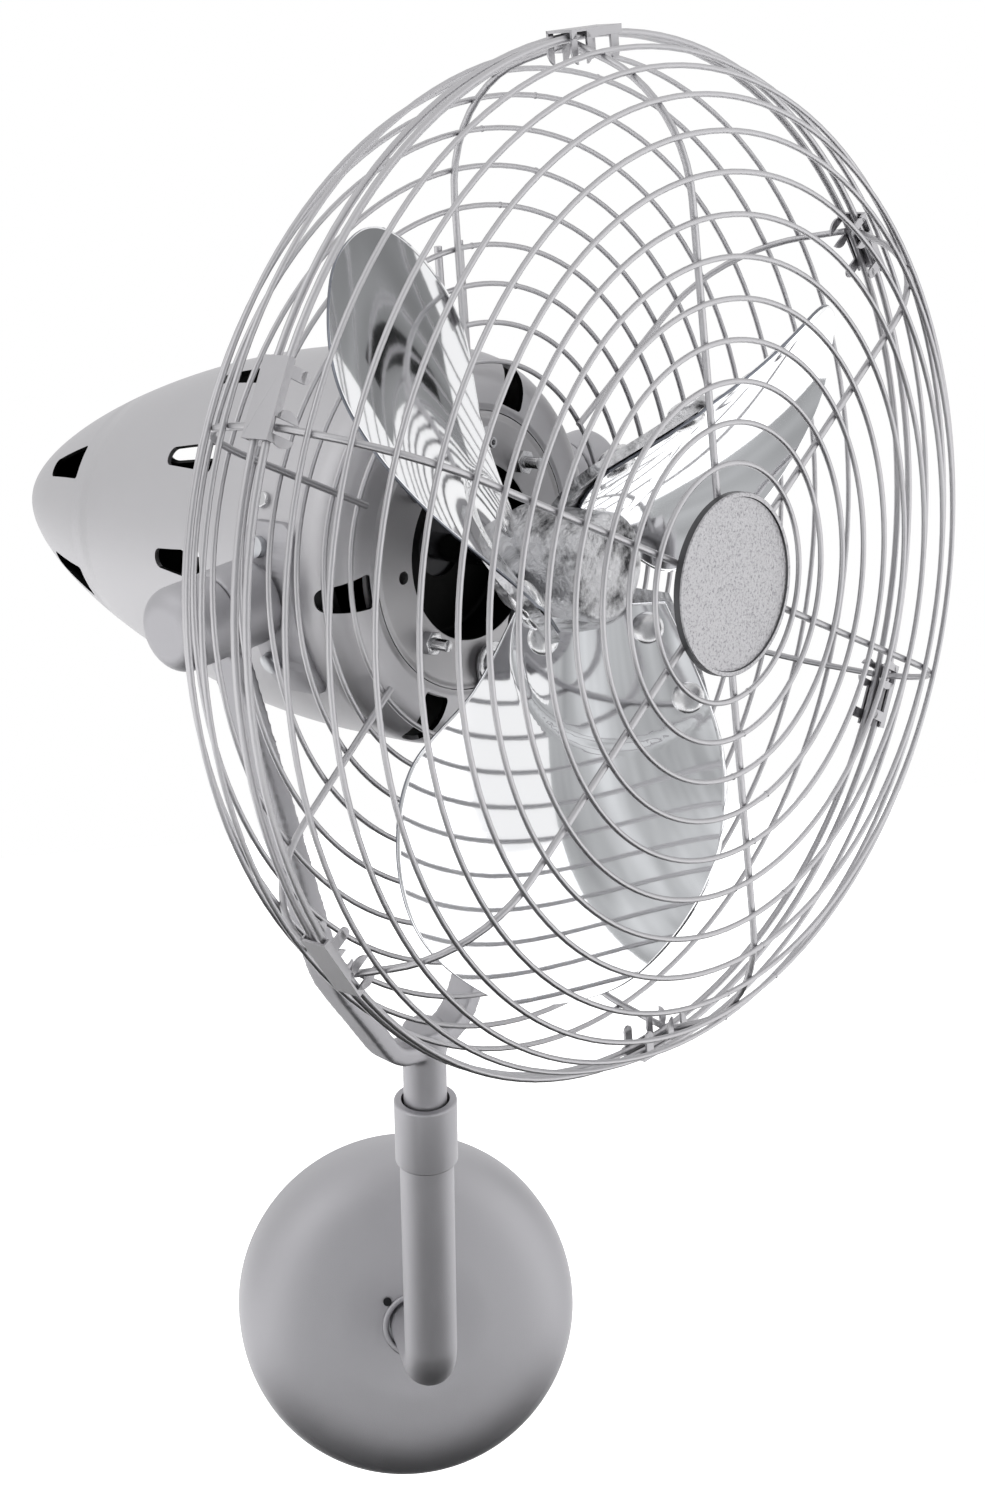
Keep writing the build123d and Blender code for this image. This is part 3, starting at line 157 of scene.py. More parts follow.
def dress(node, material):
    """Gives a CAD node its finish, with smooth shading between its sharp edges."""
    piece = frame["nodes"][node]
    piece.data.materials.clear()
    piece.data.materials.append(material)
    for face in piece.data.polygons:
        face.use_smooth = True
    weld = piece.modifiers.new("weld", "WELD")
    weld.merge_threshold = MERGE_GAP
    split = piece.modifiers.new("edges", "EDGE_SPLIT")
    split.split_angle = CREASE
    return piece


satin_nickel = metal("satin nickel", PLATED_SKIN, Color=(0.43, 0.425, 0.445, 1), Clouds=0.1,
                     Roughness=0.55, Gloss_spread=0.1, Tooth=0.4)
dress("canopy", satin_nickel)
black_steel = metal("black steel", PLATED_SKIN, Color=(0.03, 0.03, 0.032, 1), Clouds=0.4,
                    Roughness=0.35, Gloss_spread=0.2, Tooth=0.3)
dress("canopy_screws", black_steel)


# ---- Wall bracket and pipe nuts
# Hat-shaped crossbar under the canopy, with two slotted feet for the wall box's screws. The arm's
# threaded end is clamped to its platform between two pipe nuts. All of it is zinc plated.
zinc = metal("zinc plate", PLATED_SKIN, Color=(0.5, 0.51, 0.53, 1), Clouds=0.5, Roughness=0.38,
             Gloss_spread=0.3, Tooth=0.2, Tooth_scale=900.0)
dress("wall_bracket", zinc)
dress("arm_lock_nuts", zinc)


# ---- Arm and swivel
# Bent steel pipe with a sleeve pressed over its end. The fork's stem turns in a black nylon liner
# inside it, on a thin washer, and a snap ring keeps it from lifting out.
dress("arm_tube", satin_nickel)
dress("swivel_collar", satin_nickel)
black_nylon = metal("black nylon", PLATED_SKIN, metallic=0.0, Color=(0.02, 0.02, 0.022, 1),
                    Clouds=0.3, Roughness=0.5, Gloss_spread=0.1, Tooth=0.3, Tooth_scale=700.0)
for node in ("swivel_bushing", "thrust_washer", "friction_washers"):
    dress(node, black_nylon)
dress("swivel_ring", black_steel)


# ---- Fork
# One casting, plated like the arm: a round stem that turns in the sleeve, two flat arms that bend
# round the motor, and a round ear on each. Its edges are soft, as a sand casting's are.
joints = {joint["name"]: joint for joint in frame["joints"]}
pivot = Vector(joints["head_tilt"]["pos_m"])
right_way = Vector(joints["head_tilt"]["axis"])
swivel_way = Vector(joints["yoke_swivel"]["axis"])
back_way = swivel_way.cross(right_way)
EAR_SETBACK, EAR_RADIUS, EAR_LENGTH, EAR_MIDDLE = 0.0081, 0.0183, 0.0236, 0.1014
FORK_BAR, FORK_DEPTH, FORK_FOOT, FORK_LEAN = 0.0092, 0.0158, 0.2535, 0.0118
FORK_WIDENING = 0.15                    # share by which an arm is deeper at its top
# Corners of an arm's middle line, aside and up from the tilt axis, and their roundings.
ARM_TOP, ARM_SHOULDER, ARM_HEEL = (0.1078, 0.004), (0.0605, -0.192), 0.0215
SHOULDER_BEND, HEEL_BEND, ARM_OVERLAP = 0.070, 0.024, 0.004
STEM_RADIUS, STEM_END, STEM_RISE = 0.0107, 0.2909, 0.0095
JOURNAL_RADIUS, JOURNAL_END, JOURNAL_GAP = 0.0084, 0.3378, 0.0002
BEND_STEP = radians(7)
LONG_EDGE, LEAN_CUTS = 0.03, 24


def frame_at(origin, x_way, z_way):
    """Right-handed frame with given X and Z directions at an origin."""
    place = Matrix((x_way, z_way.cross(x_way), z_way)).transposed().to_4x4()
    place.translation = origin
    return place


FORK_PLACE = frame_at(pivot - back_way * EAR_SETBACK, right_way, swivel_way)


def edges_of(verts):
    """Edges on some vertices, each once and in an order that every run repeats."""
    return list(dict.fromkeys(edge for vert in verts for edge in vert.link_edges))


def sweep(bm, section, start, heading, moves):
    """Runs a flat section from a start point: (length,) runs on, (radius, angle, axis) bends it."""
    here, heading = Vector(start), Vector(heading).normalized()
    place = Matrix.Translation(here) @ heading.to_track_quat("Z", "Y").to_matrix().to_4x4()
    bmesh.ops.transform(bm, matrix=place, verts=section)
    verts, edges = section, edges_of(section)
    bmesh.ops.contextual_create(bm, geom=edges)
    for move in moves:
        if len(move) == 1:
            made = bmesh.ops.extrude_edge_only(bm, edges=edges)["geom"]
            verts = [part for part in made if isinstance(part, bmesh.types.BMVert)]
            bmesh.ops.translate(bm, verts=verts, vec=heading * move[0])
            here = here + heading * move[0]
        else:
            radius, angle, axis = move
            centre = here + Vector(axis).cross(heading) * radius
            made = bmesh.ops.spin(bm, geom=verts + edges, cent=centre, axis=axis, angle=angle,
                                  steps=max(3, round(abs(angle) / BEND_STEP)))["geom_last"]
            verts = [part for part in made if isinstance(part, bmesh.types.BMVert)]
            turn = Matrix.Rotation(angle, 3, Vector(axis))
            here = centre + turn @ (here - centre)
            heading = turn @ heading
        edges = [part for part in made if isinstance(part, bmesh.types.BMEdge)
                 and all(vert in verts for vert in part.verts)]
    bmesh.ops.contextual_create(bm, geom=edges)


def corner_moves(corners):
    """Start, heading and moves of a line through corner points, each given with its rounding."""
    points = [Vector(point) for point, _ in corners]
    moves, used = [], 0.0
    for index in range(1, len(points)):
        way = points[index] - points[index - 1]
        cut = 0.0
        if index < len(points) - 1:
            onward = points[index + 1] - points[index]
            cut = corners[index][1] * tan(way.angle(onward) / 2)
        if way.length - used - cut > MERGE_GAP:
            moves.append((way.length - used - cut,))
        if cut:
            moves.append((corners[index][1], way.angle(onward), way.cross(onward).normalized()))
        used = cut
    return points[0], points[1] - points[0], moves


def make_object(name, bm, material):
    """Turns a finished bmesh into an object of the scene."""
    mesh = bpy.data.meshes.new(name)
    bm.to_mesh(mesh)
    bm.free()
    mesh.materials.append(material)
    piece = bpy.data.objects.new(name, mesh)
    bpy.context.scene.collection.objects.link(piece)
    return piece


def add_piece(name, bm, material, body, place, crease=40):
    """Finishes a mesh: closed doubles, outward normals, placed in the frame, riding on its body."""
    bmesh.ops.remove_doubles(bm, verts=bm.verts, dist=MERGE_GAP)
    bmesh.ops.recalc_face_normals(bm, faces=bm.faces)
    bmesh.ops.transform(bm, matrix=place, verts=bm.verts)
    for face in bm.faces:
        face.smooth = True
    for edge in bm.edges:
        if len(edge.link_faces) == 2:
            edge.smooth = edge.calc_face_angle() < radians(crease)
    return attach(make_object(name, bm, material), body)


def rod(bm, radius, low, high, place=Matrix.Identity(4), sides=64):
    """Solid round bar along Z between two heights."""
    middle = place @ Matrix.Translation((0, 0, (low + high) / 2))
    return bmesh.ops.create_cone(bm, cap_ends=True, segments=sides, radius1=radius, radius2=radius,
                                 depth=high - low, matrix=middle)["verts"]


bm = bmesh.new()
for side in (-1, 1):
    unit_square = bmesh.ops.create_circle(bm, segments=4, radius=0.5 ** 0.5,
                                          matrix=Matrix.Rotation(pi / 4, 4, "Z"))["verts"]
    bmesh.ops.transform(bm, matrix=Matrix.Diagonal((FORK_DEPTH, FORK_BAR, 1, 1)), verts=unit_square)
    sweep(bm, unit_square, *corner_moves((
        ((side * ARM_TOP[0], 0, ARM_TOP[1]), 0),
        ((side * ARM_SHOULDER[0], 0, ARM_SHOULDER[1]), SHOULDER_BEND),
        ((side * ARM_HEEL, 0, -FORK_FOOT), HEEL_BEND), ((-side * ARM_OVERLAP, 0, -FORK_FOOT), 0))))
bmesh.ops.subdivide_edges(
    bm, edges=[edge for edge in bm.edges if edge.calc_length() > LONG_EDGE], cuts=LEAN_CUTS)
for vert in bm.verts:
    rise = min(1 + vert.co.z / FORK_FOOT, 1)
    vert.co.y = vert.co.y * (1 + FORK_WIDENING * rise) + FORK_LEAN * rise
for side in (-1, 1):
    ear = (Matrix.Translation((side * EAR_MIDDLE, EAR_SETBACK, 0))
           @ Matrix.Rotation(pi / 2, 4, "Y"))
    rod(bm, EAR_RADIUS, -EAR_LENGTH / 2, EAR_LENGTH / 2, ear)
rod(bm, STEM_RADIUS, -STEM_END, -FORK_FOOT + STEM_RISE)
rod(bm, JOURNAL_RADIUS, -JOURNAL_END, -STEM_END - JOURNAL_GAP)
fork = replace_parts(add_piece("fork", bm, satin_nickel, "fork", FORK_PLACE), "yoke")
cast = fork.modifiers.new("one casting", "REMESH")
cast.mode = "VOXEL"
cast.voxel_size = 0.0011
cast.use_smooth_shade = True
soft = fork.modifiers.new("soft edges", "SMOOTH")
soft.factor = 0.5
soft.iterations = 16


# ---- Tilt hardware
# The ears turn on two studs that stand out of curved pads screwed to the motor housing, and a domed
# knob on each stud clamps the tilt.
bright_steel = metal("bright steel", PLATED_SKIN, Color=(0.5, 0.5, 0.51, 1), Clouds=0.3,
                     Roughness=0.22, Gloss_spread=0.12, Tooth=0.1, Tooth_scale=1500.0)


def soften(piece, width, segments=2):
    """Breaks a CAD node's sharp edges, as tumbling does."""
    piece.modifiers.remove(piece.modifiers["edges"])
    bevel = piece.modifiers.new("broken edges", "BEVEL")
    bevel.width = width
    bevel.segments = segments
    bevel.limit_method = "ANGLE"
    bevel.angle_limit = radians(35)
    bevel.harden_normals = True


for side in ("left", "right"):
    dress(f"knob_{side}", satin_nickel)
    soften(dress(f"tilt_bracket_{side}", satin_nickel), 0.0006)
    dress(f"tilt_stud_{side}", bright_steel)
soften(dress("bracket_screws", zinc), 0.0003)


# ---- Motor housing
# Spun steel shell with cooling slots and a rolled front seam, satin nickel outside, and its shade
# inside painted black. The plate inside the seam carries the front bearing in a cup, its shade
# painted black too. The motor is behind.
shaft_way = Vector(joints["rotor_spin"]["axis"])
HEAD_PLACE = frame_at(pivot, right_way, shaft_way)
HOUSING_MIDDLE = 0.08                   # of its hollow, behind the tilt axis
CUP_RADIUS = 0.0384
SEAM_RADIUS, SEAM_ROLL = 0.0597, 0.0034
MIX_FIRST, MIX_SECOND, MIX_RESULT = 6, 7, 2     # colour sockets of a mix node


def mix_colors(tree, share, first, second):
    """Mixes two colours by a share."""
    mix = tree.nodes.new("ShaderNodeMix")
    mix.data_type = "RGBA"
    tree.links.new(share, mix.inputs["Factor"])
    fill(tree, mix.inputs[MIX_FIRST], first)
    fill(tree, mix.inputs[MIX_SECOND], second)
    return mix.outputs[MIX_RESULT]


def make_painted_shade_inside():
    """Painted shade, black inside a hollow shell and in the cup round its shaft; the front seam's
    roll.
    """
    tree, given, result = make_group(
        "Painted shade inside",
        [("Color", "NodeSocketColor", (0.5, 0.5, 0.5, 1)), ("Cup radius", "NodeSocketFloat", 0.0)],
        [("Color", "NodeSocketColor"), ("Seam", "NodeSocketFloat")])
    place = tree.nodes.new("ShaderNodeTexCoord").outputs
    middle = HEAD_PLACE @ Vector((0, 0, -HOUSING_MIDDLE))
    vectors = "ShaderNodeVectorMath"
    spot = reckon(tree, "SUBTRACT", place["Object"], middle, kind=vectors)["Vector"]
    outward = reckon(tree, "DOT_PRODUCT", spot, place["Normal"], kind=vectors)["Value"]
    inner = reckon(tree, "LESS_THAN", outward, 0.0)[0]
    off_axis = reckon(tree, "CROSS_PRODUCT", spot, shaft_way, kind=vectors)["Vector"]
    reach = reckon(tree, "LENGTH", off_axis, kind=vectors)["Value"]
    cup = reckon(tree, "LESS_THAN", reach, given["Cup radius"])[0]
    # Inward faces and the cup are painted near black: painted shade for the shade that falls inside
    # them.
    black = reckon(tree, "MAXIMUM", inner, cup)[0]
    tree.links.new(mix_colors(tree, black, given["Color"], (0.006, 0.006, 0.006, 1)),
                   result["Color"])
    from_seam = reckon(tree, "SUBTRACT", reach, SEAM_RADIUS)[0]
    aside = reckon(tree, "ABSOLUTE", from_seam)[0]
    roll = add_node(tree, "ShaderNodeMapRange", Value=aside, From_Max=SEAM_ROLL)
    roll.interpolation_type = "SMOOTHSTEP"
    tree.links.new(roll.outputs["Result"], result["Seam"])
    return tree


PAINTED_SHADE_INSIDE = make_painted_shade_inside()


def painted_shade_inside(material, cup_radius):
    """Paints the shade inside a plated part black, and sinks the groove beside its rolled seam."""
    tree = material.node_tree
    shader = tree.nodes["Principled BSDF"]
    color, normal = shader.inputs["Base Color"], shader.inputs["Normal"]
    group = tree.nodes.new("ShaderNodeGroup")
    group.node_tree = PAINTED_SHADE_INSIDE
    group.inputs["Cup radius"].default_value = cup_radius
    tree.links.new(color.links[0].from_socket, group.inputs["Color"])
    tree.links.new(group.outputs["Color"], color)
    groove = add_node(tree, "ShaderNodeBump", Strength=1.0, Distance=0.0011,
                      Height=group.outputs["Seam"], Normal=normal.links[0].from_socket)
    tree.links.new(groove.outputs["Normal"], normal)
    return material


shell_nickel = metal("nickel shell", PLATED_SKIN, Color=(0.49, 0.485, 0.5, 1), Clouds=0.1,
                     Roughness=0.52, Gloss_spread=0.1, Tooth=0.4)
# Painted shade: black on the shell's inner faces and in the front plate's cup.
dress("motor_housing", painted_shade_inside(shell_nickel, 0.0))
plate_nickel = metal("nickel plate", PLATED_SKIN, Color=(0.42, 0.415, 0.425, 1), Clouds=0.12,
                     Roughness=0.5, Gloss_spread=0.1, Tooth=0.4)
dress("front_plate", painted_shade_inside(plate_nickel, CUP_RADIUS))
for node in ("rear_plate", "front_bearing", "rear_bearing", "stator_core", "rotor_core"):
    dress(node, black_steel)
copper = metal("enamelled copper", PLATED_SKIN, Color=(0.12, 0.045, 0.02, 1), Clouds=0.3,
               Roughness=0.4, Gloss_spread=0.1, Tooth=0.6, Tooth_scale=500.0)
dress("stator_windings", copper)
for node in ("motor_studs", "motor_nuts", "earth_stud", "housing_screws"):
    soften(dress(node, bright_steel), 0.0003)
dress("motor_shaft", bright_steel)


# ---- Hub
# Barrel and three blade arms in one aluminium casting, buffed but still rough, with dark blotches.
# A black socket screw holds it on the shaft.
def make_cast_skin():
    """Cast surface: lumpy relief, with dark blotches scattered at random."""
    tree, given, result = make_group(
        "Cast skin",
        [("Color", "NodeSocketColor", (0.5, 0.5, 0.5, 1)),
         ("Hollows", "NodeSocketColor", (0.1, 0.1, 0.1, 1)),
         ("Lump scale", "NodeSocketFloat", 260.0), ("Stain scale", "NodeSocketFloat", 70.0),
         ("Relief", "NodeSocketFloat", 0.5)],
        SKIN_OUTPUTS)
    where = tree.nodes.new("ShaderNodeTexCoord").outputs["Object"]
    lumps = add_node(tree, "ShaderNodeTexNoise", Vector=where, Scale=given["Lump scale"],
                     Detail=5.0, Roughness=0.55, Distortion=0.4)
    blotches = add_node(tree, "ShaderNodeTexNoise", Vector=where, Scale=given["Stain scale"],
                      Detail=8.0, Roughness=0.62)
    ramp = add_node(tree, "ShaderNodeValToRGB", Fac=blotches.outputs["Fac"])
    ramp.color_ramp.elements[0].position = 0.34
    ramp.color_ramp.elements[1].position = 0.5
    color = mix_colors(tree, ramp.outputs["Color"], given["Hollows"], given["Color"])
    gloss = add_node(tree, "ShaderNodeMapRange", Value=blotches.outputs["Fac"], To_Min=0.5,
                     To_Max=0.2)
    bump = add_node(tree, "ShaderNodeBump", Strength=given["Relief"], Distance=0.0015,
                    Height=lumps.outputs["Fac"])
    tree.links.new(color, result["Color"])
    tree.links.new(gloss.outputs["Result"], result["Roughness"])
    tree.links.new(bump.outputs["Normal"], result["Normal"])
    return tree


CAST_SKIN = make_cast_skin()
cast_aluminium = metal("cast aluminium", CAST_SKIN, Color=(0.6, 0.6, 0.615, 1),
                       Hollows=(0.035, 0.035, 0.037, 1), Relief=1.1)
soften(dress("fan_hub", cast_aluminium), 0.0009, 3)
dress("hub_set_screw", black_steel)


# ---- Blades
# Three twisted paddles pressed from sheet and polished to a mirror. The root is pressed forward
# over the hub's arm, and three domed rivets hold it there.
BLADE_TURNS = (-30.5, 89.5, 209.5)      # degrees clockwise from the top
BLADE_AHEAD, BLADE_RAKE, BLADE_PITCH = 0.0747, 4.15, 30.5
BLADE_SHEET = 0.0012
BLADE_COLUMNS, BLADE_ROWS = 110, 80
# The sheet's own shape is in mm, outward and across. Its edge runs from root to tip and back.
BLADE_EDGE = ((22, -2), (60, -15), (96, -37), (130, -37), (160, -23), (178, 2), (184, 36),
              (166, 79), (120, 100), (66, 91), (8, 57))
TIP_SHARE, LAST_SHARE = 0.6, 0.99999    # of the way round the edge: the tip, and just short of all
FLAT_REACH, TWIST_RATE = 118, 0.00155   # where the blade isn't twisted, and slope gained per mm
CAMBER, CAMBER_LOSS, CAMBER_MIDDLE = 0.0044, 0.000057, 19
PRESS_MIDDLE, PRESS_REACH = (31, 42), (43, 45)
PRESS_RISE, PRESS_EDGE = 0.9, 0.1
RIVET_PLACES = ((32.5, 11.5), (20.0, 53.0), (46.0, 73.5))
RIVET_HEAD, RIVET_RISE, RIVET_GRIP = 0.007, 0.0026, 0.0049


def edge_point(share):
    """Point at a share of the way round the blade's edge, on a smooth line through its points."""
    spot = min(max(share, 0), LAST_SHARE) * (len(BLADE_EDGE) - 1)
    index = int(spot)
    before, first, second, after = (
        Vector(BLADE_EDGE[min(max(index + step, 0), len(BLADE_EDGE) - 1)])
        for step in (-1, 0, 1, 2))
    part = spot - index
    leave, arrive = (second - before) / 2, (after - first) / 2
    return (first * (2 * part**3 - 3 * part**2 + 1) + leave * (part**3 - 2 * part**2 + part)
            + second * (3 * part**2 - 2 * part**3) + arrive * (part**3 - part**2))


def blade_camber(reach):
    """Curvature of the sheet across its width, in 1/mm."""
    return CAMBER - CAMBER_LOSS * (reach - FLAT_REACH)


def blade_height(reach, across):
    """Height of the twisted, cambered sheet over the blade's own frame, in mm."""
    return (across * TWIST_RATE * (FLAT_REACH - reach)
            + blade_camber(reach) * (across - CAMBER_MIDDLE) ** 2 / 2)


def blade_slope(reach, across):
    """Slope of that height across the blade."""
    return TWIST_RATE * (FLAT_REACH - reach) + blade_camber(reach) * (across - CAMBER_MIDDLE)


def blade_place(turn):
    """Frame of one blade: x outward, y across, z to its front."""
    return (HEAD_PLACE @ Matrix.Rotation(radians(90 - turn), 4, "Z")
            @ Matrix.Translation((0, 0, BLADE_AHEAD))
            @ Matrix.Rotation(radians(-BLADE_RAKE), 4, "Y")
            @ Matrix.Rotation(radians(BLADE_PITCH), 4, "X"))


chrome = metal("mirror chrome", PLATED_SKIN, Color=(0.87, 0.875, 0.89, 1), Clouds=0.03,
               Roughness=0.045, Gloss_spread=0.03, Tooth=0.05, Tooth_scale=90.0)
cut_edge = metal("cut chrome edge", PLATED_SKIN, Color=(0.2, 0.21, 0.24, 1), Clouds=0.5,
                 Roughness=0.3, Gloss_spread=0.1, Tooth=0.2, Tooth_scale=400.0)
for index, turn in enumerate(BLADE_TURNS):
    bm = bmesh.new()
    bmesh.ops.create_grid(bm, x_segments=BLADE_COLUMNS, y_segments=BLADE_ROWS, size=1)
    for vert in bm.verts:
        out, over = (vert.co.x + 1) / 2, (vert.co.y + 1) / 2
        low, high = edge_point(TIP_SHARE * out), edge_point(1 - (1 - TIP_SHARE) * out)
        reach, across = low.lerp(high, over)
        away = hypot((reach - PRESS_MIDDLE[0]) / PRESS_REACH[0],
                     (across - PRESS_MIDDLE[1]) / PRESS_REACH[1])
        step = min(max((1 - away) / PRESS_EDGE, 0), 1)
        height = blade_height(reach, across) + PRESS_RISE * step * step * (3 - 2 * step)
        vert.co = Vector((reach, across, height)) / 1000
    blade = add_piece(f"blade_sheet_{index + 1}", bm, chrome, "rotor", blade_place(turn), 60)
    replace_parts(blade, f"blade_{index + 1}")
    gauge = blade.modifiers.new("gauge", "SOLIDIFY")
    gauge.thickness = BLADE_SHEET
    gauge.offset = 0
    blade.data.materials.append(cut_edge)
    gauge.material_offset_rim = 1

rivet_metal = metal("turned rivet", PLATED_SKIN, Color=(0.66, 0.66, 0.67, 1), Clouds=0.2,
                    Roughness=0.24, Gloss_spread=0.1, Tooth=0.1, Tooth_scale=700.0)
bm = bmesh.new()
for turn in BLADE_TURNS:
    for reach, across in RIVET_PLACES:
        middle = Vector((reach, across, blade_height(reach, across))) / 1000
        seat = (blade_place(turn) @ Matrix.Translation(middle)
                @ Matrix.Rotation(atan(blade_slope(reach, across)), 4, "X"))
        for level in (BLADE_SHEET / 2 + PRESS_RISE / 1000, -RIVET_GRIP):
            dome = (Matrix.Translation((0, 0, level))
                    @ Matrix.Diagonal((1, 1, RIVET_RISE / RIVET_HEAD, 1)))
            bmesh.ops.create_uvsphere(bm, u_segments=40, v_segments=20, radius=RIVET_HEAD,
                                      matrix=seat @ dome)
rivets = add_piece("rivet_heads", bm, rivet_metal, "rotor", Matrix.Identity(4), 60)
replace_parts(rivets, "blade_rivets")


# ---- Wire cage
# Two welded guards of round wire, satin nickel plated: rings outside, six radial wires inside them
# and a thicker rim ring. Two hairpin loops of the rear guard take the screws in the front plate.
RING_WIRE, RADIAL_WIRE, RIM_WIRE = 0.0023, 0.0029, 0.0030
RIM_RADIUS = 0.210
WELD_SINK = 0.0002
BEAD_SWELL, BEAD_WIDTH, BEAD_STAGGER = 0.62, 0.8, 7
WIRE_SIDES, RING_STEPS = 10, 128
# Profile of one guard: first ring's radius, crown height, slope, straight run, turn radius, facing.
FRONT_PROFILE = (0.0473, 0.1788, 0.0, 0.1025, 0.058, 1)
REAR_PROFILE = (0.0806, 0.0497, radians(3.6), 0.0688, 0.061, -1)
# Rings, their pitch along the profile, the rim's place ahead and the first weld bead's clock angle.
FRONT_RINGS, FRONT_PITCH, FRONT_RIM, FRONT_BEADS = 12, 0.01575, 0.1277, 172
REAR_RINGS, REAR_PITCH, REAR_RIM, REAR_BEADS = 10, 0.0160, 0.1217, 5
FRONT_RADIALS = 0.027 - FRONT_PROFILE[0]        # where the radial wires start, along the profile
REAR_RADIALS = -0.0025
BACKING_RADIUS, BACKING_BACK, BADGE_BACK = 0.033, 0.17765, 0.17915
HAIRPIN_WIRE, HAIRPIN_HALF, HAIRPIN_BEND, HAIRPIN_OUTSIDE = 0.0033, 0.0065, 0.006, 0.0026
HAIRPIN_BED, HAIRPIN_FOOT, HAIRPIN_TIP = 0.04565, 0.0598, 0.050
HAIRPIN_RUN = 3 * REAR_PITCH + 0.0024           # to just past the fourth ring
HAIRPIN_BOW = HAIRPIN_HALF * 0.999              # a hair under half the width, so the turn closes


def profile_point(profile, run, inset=0.0):
    """Point (radius, ahead) on a guard's profile, a run past its first ring and inset from it."""
    first, crown, slope, straight, radius, facing = profile
    turn = slope + max(run - straight, 0) / radius
    back = min(run - straight, 0)
    centre = first + straight * cos(slope) - radius * sin(slope)
    level = crown - facing * (straight * sin(slope) + radius * cos(slope))
    return (centre + (radius - inset) * sin(turn) + back * cos(slope),
            level + facing * ((radius - inset) * cos(turn) - back * sin(slope)))


def wire_ring(bm, radius, ahead, wire):
    """Round wire bent to a closed ring about the shaft."""
    place = Matrix.Translation((radius, 0, ahead)) @ Matrix.Rotation(pi / 2, 4, "X")
    section = bmesh.ops.create_circle(bm, segments=WIRE_SIDES, radius=wire / 2,
                                      matrix=place)["verts"]
    bmesh.ops.spin(bm, geom=section + edges_of(section), cent=(0, 0, 0), axis=(0, 0, 1),
                   angle=2 * pi, steps=RING_STEPS, use_merge=True)


def bent_wire(bm, wire, start, heading, moves):
    """Round wire run along its moves."""
    section = bmesh.ops.create_circle(bm, segments=WIRE_SIDES, radius=wire / 2)["verts"]
    sweep(bm, section, start, heading, moves)


def radial_moves(profile, start, rim_ahead):
    """Start, heading and moves of a radial wire: straight, round the turn, straight to the rim."""
    slope, straight, radius, facing = profile[2:]
    inset = (RING_WIRE + RADIAL_WIRE) / 2 - WELD_SINK
    end = (RIM_RADIUS - (RIM_WIRE + RADIAL_WIRE) / 2 + WELD_SINK, rim_ahead)
    begin = profile_point(profile, start, inset)
    foot = profile_point(profile, straight, inset)
    bend = radius - inset
    centre = (foot[0] - bend * sin(slope), foot[1] - facing * bend * cos(slope))
    out, away = end[0] - centre[0], facing * (end[1] - centre[1])
    turn = atan2(out, away) - acos(bend / hypot(out, away)) - slope
    last = profile_point(profile, straight + radius * turn, inset)
    moves = [(straight - start,), (bend, turn, (0, facing, 0)),
             (hypot(end[0] - last[0], end[1] - last[1]),)]
    return (begin[0], 0, begin[1]), (cos(slope), 0, -facing * sin(slope)), moves


def clock(degrees):
    """Turn from local +X to the direction at an angle clockwise from the top."""
    return Matrix.Rotation(radians(90 - degrees), 4, "Z")


def turn_new(bm, begin, degrees):
    """Turns what was made since a count of vertices from local +X to its place on the clock."""
    bm.verts.ensure_lookup_table()
    bmesh.ops.transform(bm, matrix=clock(degrees), verts=bm.verts[begin:])


def weld_bead(bm, radius, ahead, angle):
    """Small bead where a ring's two ends meet."""
    place = (clock(angle) @ Matrix.Translation((radius, 0, ahead))
             @ Matrix.Diagonal((1, BEAD_WIDTH, 1, 1)))
    bmesh.ops.create_icosphere(bm, subdivisions=2, radius=RING_WIRE * BEAD_SWELL, matrix=place)


def make_guard(profile, rings, pitch, rim_ahead, beads, radials):
    """Rim, rings with their staggered weld beads, and six equal radial wires of one guard."""
    bm = bmesh.new()
    wire_ring(bm, RIM_RADIUS, rim_ahead, RIM_WIRE)
    for index in range(rings):
        ring = profile_point(profile, index * pitch)
        wire_ring(bm, *ring, RING_WIRE)
        weld_bead(bm, *ring, beads + BEAD_STAGGER * (index % 3))
    for index in range(6):
        begin = len(bm.verts)
        bent_wire(bm, RADIAL_WIRE, *radial_moves(profile, radials, rim_ahead))
        turn_new(bm, begin, index * 60)
    return bm


wire_nickel = metal("wire nickel", PLATED_SKIN, Color=(0.47, 0.465, 0.48, 1), Clouds=0.15,
                    Roughness=0.4, Gloss_spread=0.15, Tooth=0.3)
bm = make_guard(FRONT_PROFILE, FRONT_RINGS, FRONT_PITCH, FRONT_RIM, FRONT_BEADS, FRONT_RADIALS)
rod(bm, BACKING_RADIUS, BACKING_BACK, BADGE_BACK)
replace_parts(add_piece("front_guard_wires", bm, wire_nickel, "head", HEAD_PLACE), "front_guard")

bm = make_guard(REAR_PROFILE, REAR_RINGS, REAR_PITCH, REAR_RIM, REAR_BEADS, REAR_RADIALS)
far_end, knee = (profile_point(REAR_PROFILE, run, -HAIRPIN_OUTSIDE) for run in (HAIRPIN_RUN, 0))
for angle in (0, 180):
    begin = len(bm.verts)
    legs = [[((far_end[0], y, far_end[1]), 0), ((knee[0], y, knee[1]), HAIRPIN_BEND),
             ((HAIRPIN_FOOT, y, HAIRPIN_BED), HAIRPIN_BEND)]
            for y in (-HAIRPIN_HALF, HAIRPIN_HALF)]
    bow = [((HAIRPIN_TIP - HAIRPIN_HALF, y, HAIRPIN_BED), HAIRPIN_BOW)
           for y in (-HAIRPIN_HALF, HAIRPIN_HALF)]
    bent_wire(bm, HAIRPIN_WIRE, *corner_moves(legs[0] + bow + legs[1][::-1]))
    turn_new(bm, begin, angle)
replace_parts(add_piece("rear_guard_wires", bm, wire_nickel, "head", HEAD_PLACE), "rear_guard")
for node in ("guard_screws", "guard_washers"):
    soften(dress(node, bright_steel), 0.0004)
